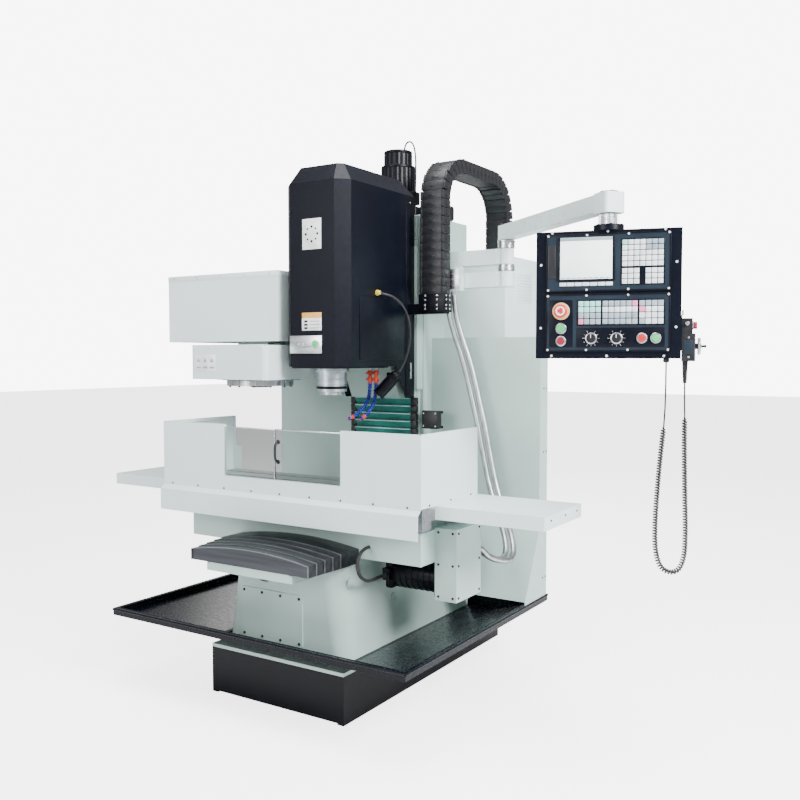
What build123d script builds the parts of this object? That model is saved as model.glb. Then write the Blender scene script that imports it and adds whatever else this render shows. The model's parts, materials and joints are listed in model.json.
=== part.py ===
from build123d import *
import math
import os

# Bed-type CNC vertical mill with a side tool magazine. Millimetres, +Z up, +Y towards the column,
# +X to the operator's right. The origin is on the floor at the centre of the plinth.

# ---- driving dimensions ----------------------------------------------------------------------
FIT = 0.05            # radial running clearance of shafts, screws and pins
GAP = 0.4             # clearance between sliding faces of different bodies
SHEET = 2.0           # folded sheet metal

# plinth, base casting and chip tray
PLINTH_W = 678.0
PLINTH_D = 1316.0
PLINTH_H = 190.0
PLINTH_WALL = 30.0
FOOT_H = 14.0         # foot flange of the base casting on the plinth
BASE_W_LOW = 656.0
BASE_W_TOP = 540.0
BASE_FRONT = -600.0
BASE_BACK = 640.0
BASE_TOP = 590.0
BASE_CORNER = 80.0
BASE_DECK = 45.0      # thickness of the top deck
BASE_WALL = 40.0
MOON_X = -102.0       # half-round service opening in the front wall
MOON_Z = 545.0
MOON_R = 62.0
TRAY_W = 1462.0
TRAY_FRONT = -843.0
TRAY_BACK = 357.0
TRAY_RIM = 336.0
TRAY_LIP = 26.0
TRAY_FLOOR = 230.0
TRAY_SHEET = 3.0

# Y axis: ways, screw, motor and telescopic cover
WAY_X = 175.0         # centre of each Y way
WAY_W = 70.0
WAY_H = 21.6
SCREW_R = 16.0
Y_SCREW_Z = 500.0
Y_SCREW_FRONT = -400.0
Y_SCREW_BACK = 180.0
Y_NUT_Y = -140.0
Y_MOTOR_R = 42.0
WAY_BACK = 160.0
COVER_FRONT = -811.0
COVER_W = 590.0
COVER_BOTTOM = 593.0
COVER_SIDE_H = 44.0
COVER_RISE = 27.0     # crown of the arch above its corners
COVER_STAGES = 5      # the last one is on the saddle
COVER_STEP = 46.0     # distance between stage fronts at rest
COVER_STAGE_L = 112.0
COVER_LAST_L = 116.0
COVER_GROW = 3.0      # each stage is this much larger than the one in front
COVER_SHEET = 2.5

# saddle and X drive
SADDLE_W = 1182.0
SADDLE_BACK = -98.0
SADDLE_H = 126.0
XWAY_W = 1120.0
XWAY_FRONT = -490.0
XWAY_BACK = -270.0
XWAY_H = 48.0
X_SCREW_Y = -350.0
X_SCREW_Z = 690.0
DRIVE_W = 95.0
DRIVE_FRONT = -408.0
DRIVE_BACK = -208.0
DRIVE_BOTTOM = 465.0
DRIVE_TOP = 745.0
X_MOTOR_Z = 530.0
X_MOTOR_R = 61.0
X_MOTOR_L = 225.0
X_PLUG_OUT = 86.0

# table, guard and shelves
TABLE_L = 1250.0
TABLE_FRONT = -560.0
TABLE_BACK = -200.0
TABLE_TOP = 870.0
SLOT_PITCH = 100.0
SLOT_W = 18.0
GUARD_W = 1312.0
GUARD_FRONT = -619.0
GUARD_BACK = -182.0
GUARD_PAN = 852.0
GUARD_TOP = 1119.0
NOTCH_W = 596.0
NOTCH_BOTTOM = 907.0
RETURN_W = 54.0
RETURN_TOP = 977.0
APRON_OUT = 22.0
APRON_BOTTOM = 738.0
PANE = 4.0
PANE_TOP = 1110.0
PANE_SPLIT = -30.0
SHELF_L = 433.0
SHELF_FRONT = -518.0
SHELF_BACK = -174.0
SHELF_H = 50.0

# column, Z ways, motor, splash guard and cabinet
COLUMN_W = 366.0
COLUMN_FRONT = 185.0
COLUMN_BACK = 600.0
COLUMN_TOP = 2050.0
COLUMN_WALL = 25.0
ZWAY_X = 137.0
ZWAY_W = 56.0
ZWAY_OUT = 25.0
Z_SCREW_Y = 255.0
Z_SCREW_LOW = 940.0
Z_MOTOR_R = 80.0
Z_MOTOR_TOP = 2290.0
Z_CAP_R = 68.0
Z_CAP_TOP = 2365.0
SPLASH_W = 1460.0
SPLASH_Y = 261.0
SPLASH_TOP = 1486.0
SPLASH_BEND = 635.0
SPLASH_TOE_Y = 119.0
SPLASH_TOE_Z = 350.0
SPLASH_FLANGE = 343.0
CABINET_W = 1000.0
CABINET_FRONT = 382.0
CABINET_BACK = 842.0
CABINET_BOTTOM = 640.0
CABINET_TOP = 1865.0
CABINET_WALL = 3.0
DOOR_T = 18.0

# head and spindle
HEAD_BOTTOM = 1357.0
HEAD_W = 330.0
HEAD_FLAT = 230.0
HEAD_FRONT = -408.0
HEAD_CHAMFER = 50.0
HEAD_BACK = 132.0
HEAD_EAVES = 2120.0
HEAD_TOP = 2193.0
HEAD_FOOT = 1213.0
HEAD_SLANT_TOP = -18.0
HEAD_SLANT_LOW = 57.0
ARM_W = 260.0
SPINDLE_Y = -272.0
SLEEVE_R = 64.0
SLEEVE_FLANGE_R = 74.0
SLEEVE_LOW = 1250.0
NOSE_R = 51.0
NOSE_LOW = 1237.0
SHAFT_R = 35.0
TAPER_R = 22.2
TAPER_DEPTH = 65.0

# tool magazine
MAG_RIGHT = -185.0
MAG_W = 655.0
MAG_FRONT = -408.0
MAG_BACK = 188.0
MAG_LOW = 1466.0
MAG_TOP = 1766.0
DRUM_X = -403.0
DRUM_W = 442.0
DRUM_LOW = 1300.0
DRUM_TOP = 1449.0
DRUM_REAR_R = 140.0
DRUM_FORE_R = 24.0
DISC_R = 150.0
DISC_LOW = 1270.0
POCKETS = 12

# arm, panel and pendant
PIVOT_X = 592.0
PIVOT_Y = 202.0
BEAM_W = 60.0
BEAM_LOW = 1703.0
BEAM_UP = 1800.0
BEAM_H = 67.0
ARM_Z = 1905.0
ARM_H = 62.0
PIN_R = 20.0
PANEL_X = 1230.0
PANEL_Y = -308.0
PANEL_TURN = 16.0
PANEL_W = 490.0
PANEL_H = 442.0
PANEL_LOW = 1393.0
PANEL_FACE = -38.0
PANEL_REAR = 50.0
UNIT_W = 420.0
UNIT_H = 200.0
UNIT_T = 4.0
CORD_R = 3.0
COIL_R = 10.0

# spindle nose fittings, energy chain and conduits
BUTTON_CLEAR = 0.5     # radial clearance of push buttons and knob stems
RELEASE_X = 22.0
RELEASE_Z = 1450.0
PENDANT_LOW = 1384.0   # underside of the hand pendant
RELEASE_R = 13.0
RELEASE_PLATE_LEFT = 134.0
RELEASE_PLATE_RIGHT = 30.0
RELEASE_PLATE_HALF = 35.0
LABEL_T = 4.0
CHAIN_X = 235.0
CHAIN_W = 120.0
CHAIN_T = 63.0
CHAIN_FRONT = 67.0
CHAIN_BACK = 765.0
CHAIN_TOP = 2290.0
CHAIN_DROP = 700.0
CHAIN_BEND = 200.0
CHAIN_FRONT_LOW = 1634.0
CONDUIT_R = 13.0
CONDUIT_X = (326.0, 360.0)
CONDUIT_END = (622.0, 656.0)
JUNCTION_LOW = 1690.0

# controls on the lower key unit of the panel: name, X, Z, stem radius
CONTROLS = [("e_stop_button", -157, 1558, 16), ("start_button", -157, 1498, 14),
            ("stop_button", -157, 1454, 13), ("feed_knob", -53, 1463, 15), ("spindle_knob", 33, 1463, 15)]

# derived places
SADDLE_LOW = BASE_TOP + WAY_H + GAP
SADDLE_TOP = SADDLE_LOW + SADDLE_H
SADDLE_FRONT = COVER_FRONT + COVER_STEP * (COVER_STAGES - 1) + COVER_LAST_L
XWAY_TOP = SADDLE_TOP + XWAY_H
TABLE_LOW = XWAY_TOP + GAP
TABLE_Y = (TABLE_FRONT + TABLE_BACK) / 2
PANEL_TOP = PANEL_LOW + PANEL_H
ARM_LENGTH = math.hypot(PANEL_X - PIVOT_X, PANEL_Y - PIVOT_Y)
ARM_ANGLE = math.degrees(math.atan2(PANEL_Y - PIVOT_Y, PANEL_X - PIVOT_X))
PANEL_FRAME = Pos(PANEL_X, PANEL_Y, 0) * Rot(0, 0, PANEL_TURN)


# ---- helpers -----------------------------------------------------------------------------------
def block(x0, x1, y0, y1, z0, z1):
    """Box between two corners."""
    centre = Pos((x0 + x1) / 2, (y0 + y1) / 2, (z0 + z1) / 2)
    return centre * Box(abs(x1 - x0), abs(y1 - y0), abs(z1 - z0))


def rod(radius, start, end):
    """Cylinder from one point to another."""
    axis = Vector(*end) - Vector(*start)
    return extrude(Plane(origin=start, z_dir=axis) * Circle(radius), amount=axis.length)


def prism_x(points, x0, x1):
    """Outline of (y, z) points, extruded from x0 to x1."""
    face = Plane.YZ.offset(x0) * make_face(Polyline(*points, close=True))
    return extrude(face, amount=x1 - x0)


def prism_y(points, y0, y1):
    """Outline of (x, z) points, extruded from y0 to y1."""
    face = Plane.XZ.offset(-y0) * make_face(Polyline(*points, close=True))
    return extrude(face, amount=y0 - y1)


def prism_z(points, z0, z1):
    """Outline of (x, y) points, extruded from z0 to z1."""
    face = Plane.XY.offset(z0) * make_face(Polyline(*points, close=True))
    return extrude(face, amount=z1 - z0)


def both_sides(shape):
    """A shape and its mirror image across the X = 0 plane."""
    return [shape, mirror(shape, about=Plane.YZ)]


def tube(points, radius, label):
    """Round tube along straight runs joined by arcs as large as the runs allow."""
    corners = [Vector(*p) for p in points]
    radii = []
    for a, b, c in zip(corners, corners[1:], corners[2:]):
        turn = math.radians((b - a).get_angle(c - b))
        shorter = min((b - a).length, (c - b).length)
        radii.append(0.45 * shorter / math.tan(turn / 2))
    path = FilletPolyline(*corners, radius=radii)
    start = Plane(origin=corners[0], z_dir=corners[1] - corners[0])
    solid = sweep(start * Circle(radius), path=path)
    wanted = math.pi * radius ** 2 * path.length
    print(label, "length", round(path.length, 1), "smallest radius", round(min(radii), 1),
          "volume ratio", round(solid.volume / wanted, 4))
    return solid


def save(name, *shapes):
    """Write the solids of one node to its STEP file."""
    solids = [solid for shape in shapes for solid in shape.solids()]
    whole = solids[0] if len(solids) == 1 else Compound(children=solids)
    whole.label = name
    export_step(whole, f"parts/{name}.step")


# ---- plinth, base and tray -----------------------------------------------------------------------
def plinth():
    outer = block(-PLINTH_W / 2, PLINTH_W / 2, -PLINTH_D / 2, PLINTH_D / 2, 0, PLINTH_H)
    hollow = block(-PLINTH_W / 2 + PLINTH_WALL, PLINTH_W / 2 - PLINTH_WALL,
                   -PLINTH_D / 2 + PLINTH_WALL, PLINTH_D / 2 - PLINTH_WALL, PLINTH_WALL, PLINTH_H + 1)
    relief_w = PLINTH_W / 2 - PLINTH_WALL
    relief = block(-relief_w, relief_w, -PLINTH_D / 2 - 1, -PLINTH_D / 2 + PLINTH_WALL / 2, -1, 6)
    return outer - hollow - relief


def rounded_section(width, z):
    depth = BASE_BACK - BASE_FRONT
    centre = Pos(0, (BASE_BACK + BASE_FRONT) / 2, z)
    return centre * RectangleRounded(width, depth, BASE_CORNER)


def base_casting():
    foot = block(-PLINTH_W / 2, PLINTH_W / 2, -PLINTH_D / 2, PLINTH_D / 2,
                 PLINTH_H, PLINTH_H + FOOT_H)
    body = loft([rounded_section(BASE_W_LOW, PLINTH_H + FOOT_H), rounded_section(BASE_W_TOP, BASE_TOP)])
    half = BASE_W_TOP / 2 - BASE_WALL
    cavity = block(-half, half, BASE_FRONT + BASE_WALL, BASE_BACK - BASE_WALL,
                   PLINTH_H - 1, BASE_TOP - BASE_DECK)
    slot = block(-55, 55, Y_SCREW_FRONT - 30, Y_SCREW_BACK + 30, BASE_TOP - BASE_DECK - 1, BASE_TOP + 1)
    ways = []
    for side in (-1, 1):
        x = side * WAY_X
        ways.append(block(x - WAY_W / 2, x + WAY_W / 2, COVER_FRONT + 20, WAY_BACK,
                          BASE_TOP - 1, BASE_TOP + WAY_H))
    nose = block(-215, 215, COVER_FRONT + COVER_SHEET, BASE_FRONT + 5, BASE_TOP - 30, BASE_TOP)
    lug = block(-200, 200, COVER_FRONT + COVER_SHEET, COVER_FRONT + 12, BASE_TOP - 30, COVER_BOTTOM + 32)
    opening = block(-190, 67, BASE_FRONT - 5, BASE_FRONT + BASE_WALL + 5, 275, 420)
    moon = rod(MOON_R, (MOON_X, BASE_FRONT - 5, MOON_Z), (MOON_X, BASE_FRONT + BASE_WALL + 5, MOON_Z))
    moon &= block(MOON_X - 80, MOON_X + 80, BASE_FRONT - 9, BASE_FRONT + BASE_WALL + 9, 0, MOON_Z)
    casting = foot + body
    casting -= cavity
    casting -= opening
    casting -= moon
    casting += nose
    casting += lug
    casting -= slot
    for way in ways:
        casting += way
    for y in (Y_SCREW_FRONT - 30, Y_SCREW_BACK):
        casting += block(-55, 55, y, y + 30, Y_SCREW_Z - 45, BASE_TOP - 5)
    casting -= rod(SCREW_R + FIT, (0, Y_SCREW_FRONT - 40, Y_SCREW_Z), (0, Y_SCREW_BACK + 12, Y_SCREW_Z))
    for y, z in ((-530, 512), (-244, 393)):
        casting -= rod(20, (200, y, z), (400, y, z))
        casting -= rod(20, (-400, y, z), (-200, y, z))
    return casting


def access_panel():
    plate = block(-222, 99, BASE_FRONT - 5, BASE_FRONT, 243, 452)
    return fillet(plate.edges().filter_by(Axis.Y), 10)


def tray_pyramid(drop, inset):
    """Closed funnel shape under the tray floor, moved down and grown by the sheet's thickness."""
    wide = Pos(0, (TRAY_FRONT + TRAY_BACK) / 2, TRAY_RIM - TRAY_LIP - drop) * Rectangle(
        TRAY_W - 2 * inset, TRAY_BACK - TRAY_FRONT - 2 * inset)
    narrow = Pos(0, (BASE_FRONT - 30 + TRAY_BACK) / 2, TRAY_FLOOR - drop) * Rectangle(
        BASE_W_LOW + 40, TRAY_BACK - BASE_FRONT + 10)
    return loft([narrow, wide])


def chip_tray():
    shell = tray_pyramid(TRAY_SHEET, 0) - tray_pyramid(0, TRAY_SHEET)
    half = TRAY_W / 2
    low = TRAY_RIM - TRAY_LIP - TRAY_SHEET
    rim = block(-half, half, TRAY_FRONT, TRAY_BACK, low, TRAY_RIM)
    rim -= block(-half + TRAY_SHEET, half - TRAY_SHEET, TRAY_FRONT + TRAY_SHEET,
                 TRAY_BACK - TRAY_SHEET, low - 1, TRAY_RIM - TRAY_SHEET)
    rim -= block(-half + 16, half - 16, TRAY_FRONT + 16, TRAY_BACK - 16, low - 1, TRAY_RIM + 1)
    tray = shell + rim
    inner = BASE_W_LOW / 2 + 2
    tray -= block(-inner, inner, BASE_FRONT - 2, TRAY_BACK + 5, PLINTH_H, TRAY_RIM + 5)
    seat = PLINTH_H + FOOT_H
    collar_out = inner + TRAY_SHEET
    collar = block(-collar_out, collar_out, BASE_FRONT - 2 - TRAY_SHEET, TRAY_BACK, seat, TRAY_FLOOR)
    collar -= block(-inner, inner, BASE_FRONT - 2, TRAY_BACK + 5, seat - 1, TRAY_FLOOR + 1)
    for side in (-1, 1):
        x0, x1 = sorted((side * inner, side * collar_out))
        tray += block(x0, x1, TRAY_BACK - TRAY_SHEET, TRAY_BACK, seat, TRAY_RIM)
    return tray + collar


# ---- Y axis ------------------------------------------------------------------------------------
def y_servo_motor():
    y1 = Y_SCREW_FRONT - 30
    body = rod(Y_MOTOR_R, (0, y1 - 120, Y_SCREW_Z), (0, y1 - 12, Y_SCREW_Z))
    flange = block(-Y_MOTOR_R, Y_MOTOR_R, y1 - 12, y1, Y_SCREW_Z - Y_MOTOR_R, Y_SCREW_Z + Y_MOTOR_R)
    return body + flange


def y_ball_screw():
    return rod(SCREW_R, (0, Y_SCREW_FRONT - 28, Y_SCREW_Z), (0, Y_SCREW_BACK + 11.5, Y_SCREW_Z))


def arch(grow, low):
    """Cross-section of a way cover stage, crowned on top."""
    half = COVER_W / 2 + grow
    side_z = COVER_BOTTOM + COVER_SIDE_H + grow
    crown = (0, side_z + COVER_RISE)
    line = Polyline((half, side_z), (half, low), (-half, low), (-half, side_z))
    top = ThreePointArc((-half, side_z), crown, (half, side_z))
    return make_face(Curve() + line + top)


def cover_stage(index):
    """One sliding stage: a crowned sheet hood with a wiper bead at its front edge."""
    y0 = COVER_FRONT + COVER_STEP * index
    length = COVER_LAST_L if index == COVER_STAGES - 1 else COVER_STAGE_L
    grow = COVER_GROW * index
    outer = extrude(Plane.XZ.offset(-y0) * arch(grow, COVER_BOTTOM), amount=-length)
    inner = extrude(Plane.XZ.offset(-y0 + 1) * arch(grow - COVER_SHEET, COVER_BOTTOM - 1), amount=-length - 2)
    hood = outer - inner
    if index == 0:
        hood += extrude(Plane.XZ.offset(-y0) * arch(grow, COVER_BOTTOM), amount=-COVER_SHEET)
    return hood


# ---- saddle and X drive --------------------------------------------------------------------------
def saddle():
    half = SADDLE_W / 2
    body = block(-half, half, SADDLE_FRONT, SADDLE_BACK, SADDLE_LOW, SADDLE_TOP)
    for side in (-1, 1):
        body -= block(side * 300, side * (half - 30), SADDLE_FRONT + 30, SADDLE_BACK - 30,
                      SADDLE_LOW - 1, SADDLE_LOW + 32)
    body += block(-XWAY_W / 2, XWAY_W / 2, XWAY_FRONT, XWAY_BACK, SADDLE_TOP - 1, XWAY_TOP)
    end = XWAY_W / 2 - 15
    body -= block(-end, end, X_SCREW_Y - 33, X_SCREW_Y + 33, X_SCREW_Z - 35, XWAY_TOP + 1)
    for side in (-1, 1):
        inner = side * (WAY_X - WAY_W / 2 - 0.5)
        body += block(inner, inner - side * 30, SADDLE_FRONT + 10, SADDLE_BACK - 10,
                      BASE_TOP + 3, SADDLE_LOW + 1)
    body += block(-45, 45, Y_NUT_Y - 42, Y_NUT_Y + 42, Y_SCREW_Z - 32, SADDLE_LOW + 1)
    body -= rod(SCREW_R + FIT, (0, Y_NUT_Y - 60, Y_SCREW_Z), (0, Y_NUT_Y + 60, Y_SCREW_Z))
    body -= rod(SCREW_R + FIT, (-half + 12, X_SCREW_Y, X_SCREW_Z), (half + 1, X_SCREW_Y, X_SCREW_Z))
    return body


def x_servo_motor():
    x1 = SADDLE_W / 2
    y = (DRIVE_FRONT + DRIVE_BACK) / 2
    motor = rod(X_MOTOR_R, (x1 - X_MOTOR_L, y, X_MOTOR_Z), (x1, y, X_MOTOR_Z))
    motor += rod(X_MOTOR_R - 14, (x1 - X_MOTOR_L - 30, y, X_MOTOR_Z), (x1 - X_MOTOR_L, y, X_MOTOR_Z))
    x = x1 - X_MOTOR_L - 10
    motor += block(x - 16, x + 16, y - X_PLUG_OUT, y - 30, X_MOTOR_Z - 24, X_MOTOR_Z + 24)
    plate = block(x1, x1 + 10, DRIVE_FRONT + 3, DRIVE_BACK - 3, DRIVE_BOTTOM + 3, DRIVE_TOP - 3)
    plate -= rod(SCREW_R + 6, (x1 - 1, X_SCREW_Y, X_SCREW_Z), (x1 + 20, X_SCREW_Y, X_SCREW_Z))
    shaft = rod(12, (x1 + 9, y, X_MOTOR_Z), (x1 + 52, y, X_MOTOR_Z))
    return motor + plate + shaft


def x_drive_cover():
    x0 = SADDLE_W / 2
    outer = block(x0, x0 + DRIVE_W, DRIVE_FRONT, DRIVE_BACK, DRIVE_BOTTOM, DRIVE_TOP)
    inner = block(x0 - 1, x0 + DRIVE_W - SHEET, DRIVE_FRONT + SHEET, DRIVE_BACK - SHEET,
                  DRIVE_BOTTOM + SHEET, DRIVE_TOP - SHEET)
    return outer - inner


def x_ball_screw():
    half = SADDLE_W / 2
    screw = rod(SCREW_R, (-half + 12.5, X_SCREW_Y, X_SCREW_Z), (half + 52, X_SCREW_Y, X_SCREW_Z))
    pulley = rod(36, (half + 18, X_SCREW_Y, X_SCREW_Z), (half + 48, X_SCREW_Y, X_SCREW_Z))
    return screw + pulley


# ---- table, guard and shelves --------------------------------------------------------------------
def table():
    half = TABLE_L / 2
    body = block(-half, half, TABLE_FRONT, TABLE_BACK, TABLE_LOW, TABLE_TOP)
    for y0, y1 in ((TABLE_FRONT, XWAY_FRONT - 3), (XWAY_BACK + 3, TABLE_BACK)):
        body += block(-half, half, y0, y1, TABLE_LOW - 31, TABLE_LOW + 1)
    for offset in (-SLOT_PITCH, 0, SLOT_PITCH):
        y = TABLE_Y + offset
        body -= block(-half - 1, half + 1, y - SLOT_W / 2, y + SLOT_W / 2, TABLE_TOP - 34, TABLE_TOP + 1)
        body -= block(-half - 1, half + 1, y - 15, y + 15, TABLE_TOP - 34, TABLE_TOP - 20)
    body += block(-45, 45, X_SCREW_Y - 30, X_SCREW_Y + 30, X_SCREW_Z - 24, TABLE_LOW + 1)
    body -= rod(SCREW_R + FIT, (-60, X_SCREW_Y, X_SCREW_Z), (60, X_SCREW_Y, X_SCREW_Z))
    return body


def table_guard():
    half = GUARD_W / 2
    pan = block(-half, half, GUARD_FRONT, GUARD_BACK, GUARD_PAN - SHEET, GUARD_PAN)
    pan -= block(-TABLE_L / 2, TABLE_L / 2, TABLE_FRONT, TABLE_BACK, GUARD_PAN - 9, GUARD_PAN + 9)
    front = block(-half, half, GUARD_FRONT, GUARD_FRONT + SHEET, GUARD_PAN - SHEET, GUARD_TOP)
    front -= block(-NOTCH_W / 2, NOTCH_W / 2, GUARD_FRONT - 1, GUARD_FRONT + SHEET + 1,
                   NOTCH_BOTTOM, GUARD_TOP + 1)
    guard = pan + front
    for side in (-1, 1):
        guard += block(side * (half - SHEET), side * half, GUARD_FRONT, GUARD_BACK,
                       GUARD_PAN - SHEET, GUARD_TOP)
        guard += block(side * (half - RETURN_W), side * half, GUARD_BACK - SHEET, GUARD_BACK,
                       GUARD_PAN - SHEET, RETURN_TOP)
    rail_y = GUARD_FRONT + SHEET
    rail = block(-NOTCH_W / 2 - 25, half - 40, rail_y - 0.5, rail_y + 14, NOTCH_BOTTOM - 20, NOTCH_BOTTOM - 2)
    rail -= block(-NOTCH_W / 2 - 30, half, rail_y + 0.3, rail_y + 12, NOTCH_BOTTOM - 10, NOTCH_BOTTOM)
    return guard + rail


def guard_apron():
    y = GUARD_FRONT
    out = y - APRON_OUT
    skin = [(y, 861), (y - SHEET, 861), (y - SHEET, 845), (out, 828), (out, APRON_BOTTOM),
            (out + SHEET, APRON_BOTTOM), (out + SHEET, 829), (y, 846)]
    return prism_x(skin, -GUARD_W / 2, GUARD_W / 2)


def guard_pane(x0, x1, row):
    y0 = GUARD_FRONT + SHEET + 0.5 + row * (PANE + 1.2)
    return block(x0, x1, y0, y0 + PANE, NOTCH_BOTTOM - 9.6, PANE_TOP)


def wing_shelf():
    x0 = GUARD_W / 2
    outer = block(x0, x0 + SHELF_L, SHELF_FRONT, SHELF_BACK, GUARD_PAN - SHEET - SHELF_H, GUARD_PAN - SHEET)
    inner = block(x0 - 1, x0 + SHELF_L - SHEET, SHELF_FRONT + SHEET, SHELF_BACK - SHEET,
                  GUARD_PAN - SHEET - SHELF_H - 1, GUARD_PAN - 2 * SHEET)
    neck = block(TABLE_L / 2, x0 + 1, SHELF_FRONT, TABLE_BACK, GUARD_PAN - SHEET - 12, GUARD_PAN - SHEET)
    return (outer - inner) + neck


# ---- column and what it carries --------------------------------------------------------------------
def column():
    half = COLUMN_W / 2
    body = block(-half, half, COLUMN_FRONT, COLUMN_BACK, BASE_TOP, COLUMN_TOP)
    body += block(-250, 250, COLUMN_FRONT, COLUMN_BACK + 30, BASE_TOP, BASE_TOP + 35)
    body -= block(-half + COLUMN_WALL, half - COLUMN_WALL, COLUMN_FRONT + COLUMN_WALL,
                  COLUMN_BACK - COLUMN_WALL, BASE_TOP + 35, COLUMN_TOP - COLUMN_WALL)
    for side in (-1, 1):
        x = side * ZWAY_X
        body += block(x - ZWAY_W / 2, x + ZWAY_W / 2, COLUMN_FRONT - ZWAY_OUT, COLUMN_FRONT + 1,
                      880, COLUMN_TOP - 10)
    body -= block(-45, 45, COLUMN_FRONT - 1, COLUMN_FRONT + COLUMN_WALL + 1,
                  Z_SCREW_LOW + 30, COLUMN_TOP - COLUMN_WALL)
    body += block(-60, 60, COLUMN_FRONT + COLUMN_WALL - 1, Z_SCREW_Y + 45, Z_SCREW_LOW - 15, Z_SCREW_LOW + 25)
    body -= rod(SCREW_R + FIT, (0, Z_SCREW_Y, Z_SCREW_LOW), (0, Z_SCREW_Y, COLUMN_TOP + 1))
    return body


def z_ball_screw():
    return rod(SCREW_R, (0, Z_SCREW_Y, Z_SCREW_LOW + 0.5), (0, Z_SCREW_Y, COLUMN_TOP - 0.5))


def z_servo_motor():
    base = block(-72, 72, Z_SCREW_Y - 72, Z_SCREW_Y + 72, COLUMN_TOP, COLUMN_TOP + 60)
    base = fillet(base.edges().filter_by(Axis.Z), 14)
    body = rod(Z_MOTOR_R, (0, Z_SCREW_Y, COLUMN_TOP + 59), (0, Z_SCREW_Y, Z_MOTOR_TOP))
    cap = rod(Z_CAP_R, (0, Z_SCREW_Y, Z_MOTOR_TOP - 1), (0, Z_SCREW_Y, Z_CAP_TOP))
    cap = fillet(cap.edges().group_by(Axis.Z)[-1], 8)
    return base + body + cap


def z_motor_cable():
    top = Z_CAP_TOP
    y = Z_SCREW_Y
    route = [(36, y, top), (36, y, top + 26), (60, y + 2, top + 46), (86, y, top + 26),
             (98, y - 2, top - 25), (100, y - 3, top - 90), (97, y - 1, top - 165),
             (95, y, top - 240), (95, y, COLUMN_TOP)]
    return tube(route, 4, "z_motor_cable")


def rear_splash_guard():
    y = SPLASH_Y
    toe = SPLASH_TOE_Y
    half = SPLASH_W / 2
    skin = prism_x([(y, SPLASH_TOP), (y, SPLASH_BEND), (toe, SPLASH_TOE_Z), (toe + 2.2, SPLASH_TOE_Z),
                    (y + SHEET, SPLASH_BEND), (y + SHEET, SPLASH_TOP)], -half, half)
    hole = COLUMN_W / 2 + GAP
    skin -= block(-hole, hole, toe - 5, y + 9, BASE_TOP + 36, SPLASH_TOP + 1)
    skin -= block(-BASE_W_LOW / 2 - 1, BASE_W_LOW / 2 + 1, toe - 5, y + 9, 0, BASE_TOP + 37)
    flange = [(y, SPLASH_TOP), (SPLASH_FLANGE, SPLASH_TOP), (SPLASH_FLANGE, TRAY_RIM + 0.3),
              (toe, TRAY_RIM + 0.3), (toe, SPLASH_TOE_Z), (y, SPLASH_BEND)]
    for side in (-1, 1):
        x0, x1 = sorted((side * half, side * (half - SHEET)))
        skin += prism_x(flange, x0, x1)
    return skin


def electrical_cabinet():
    half = CABINET_W / 2
    wall = CABINET_WALL
    outer = block(-half, half, CABINET_FRONT, CABINET_BACK, CABINET_BOTTOM, CABINET_TOP)
    inner = block(-half + wall, half - wall, CABINET_FRONT + wall, CABINET_BACK + 1,
                  CABINET_BOTTOM + wall, CABINET_TOP - wall)
    clear = COLUMN_W / 2 + 0.5
    jacket = block(-clear - wall, clear + wall, CABINET_FRONT, COLUMN_BACK + wall + 0.5,
                   CABINET_BOTTOM, CABINET_TOP)
    slot = block(-clear, clear, CABINET_FRONT - 1, COLUMN_BACK + 0.5, CABINET_BOTTOM - 1, CABINET_TOP + 1)
    shell = outer - inner
    shell += jacket
    shell -= slot
    for row in range(10):
        z = 1670 + row * 12.5
        shell -= block(half - wall - 1, half + 1, 512, 662, z, z + 6)
    for side in (-1, 1):
        shell += block(side * half, side * (half - 40), CABINET_BACK - 25, CABINET_BACK - 22,
                       CABINET_BOTTOM, CABINET_TOP)
    return shell


def cabinet_door():
    half = CABINET_W / 2 - 2
    door = block(-half, half, CABINET_BACK + GAP, CABINET_BACK + GAP + DOOR_T,
                 CABINET_BOTTOM + 2, CABINET_TOP - 2)
    door -= block(-half + SHEET, half - SHEET, CABINET_BACK, CABINET_BACK + GAP + DOOR_T - SHEET,
                  CABINET_BOTTOM + 2 + SHEET, CABINET_TOP - 2 - SHEET)
    return door


# ---- head and spindle ------------------------------------------------------------------------------
def head_outline(shrink):
    """Plan of the head cover: flat front with chamfered corners, open towards the column."""
    half = HEAD_W / 2 - shrink
    flat = HEAD_FLAT / 2 - shrink * 0.42
    front = HEAD_FRONT + shrink
    back = HEAD_BACK - shrink
    return [(-flat, front), (flat, front), (half, front + (half - flat)), (half, back),
            (-half, back), (-half, front + (half - flat))]


def head_solid(shrink, low):
    """Filled shape of the cover, with a chamfered roof."""
    body = prism_z(head_outline(shrink), low, HEAD_EAVES)
    roof = loft([Plane.XY.offset(HEAD_EAVES) * make_face(Polyline(*head_outline(shrink), close=True)),
                 Plane.XY.offset(HEAD_TOP - shrink) * make_face(
                     Polyline(*head_outline(shrink + HEAD_CHAMFER), close=True))])
    return body + roof


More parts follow.
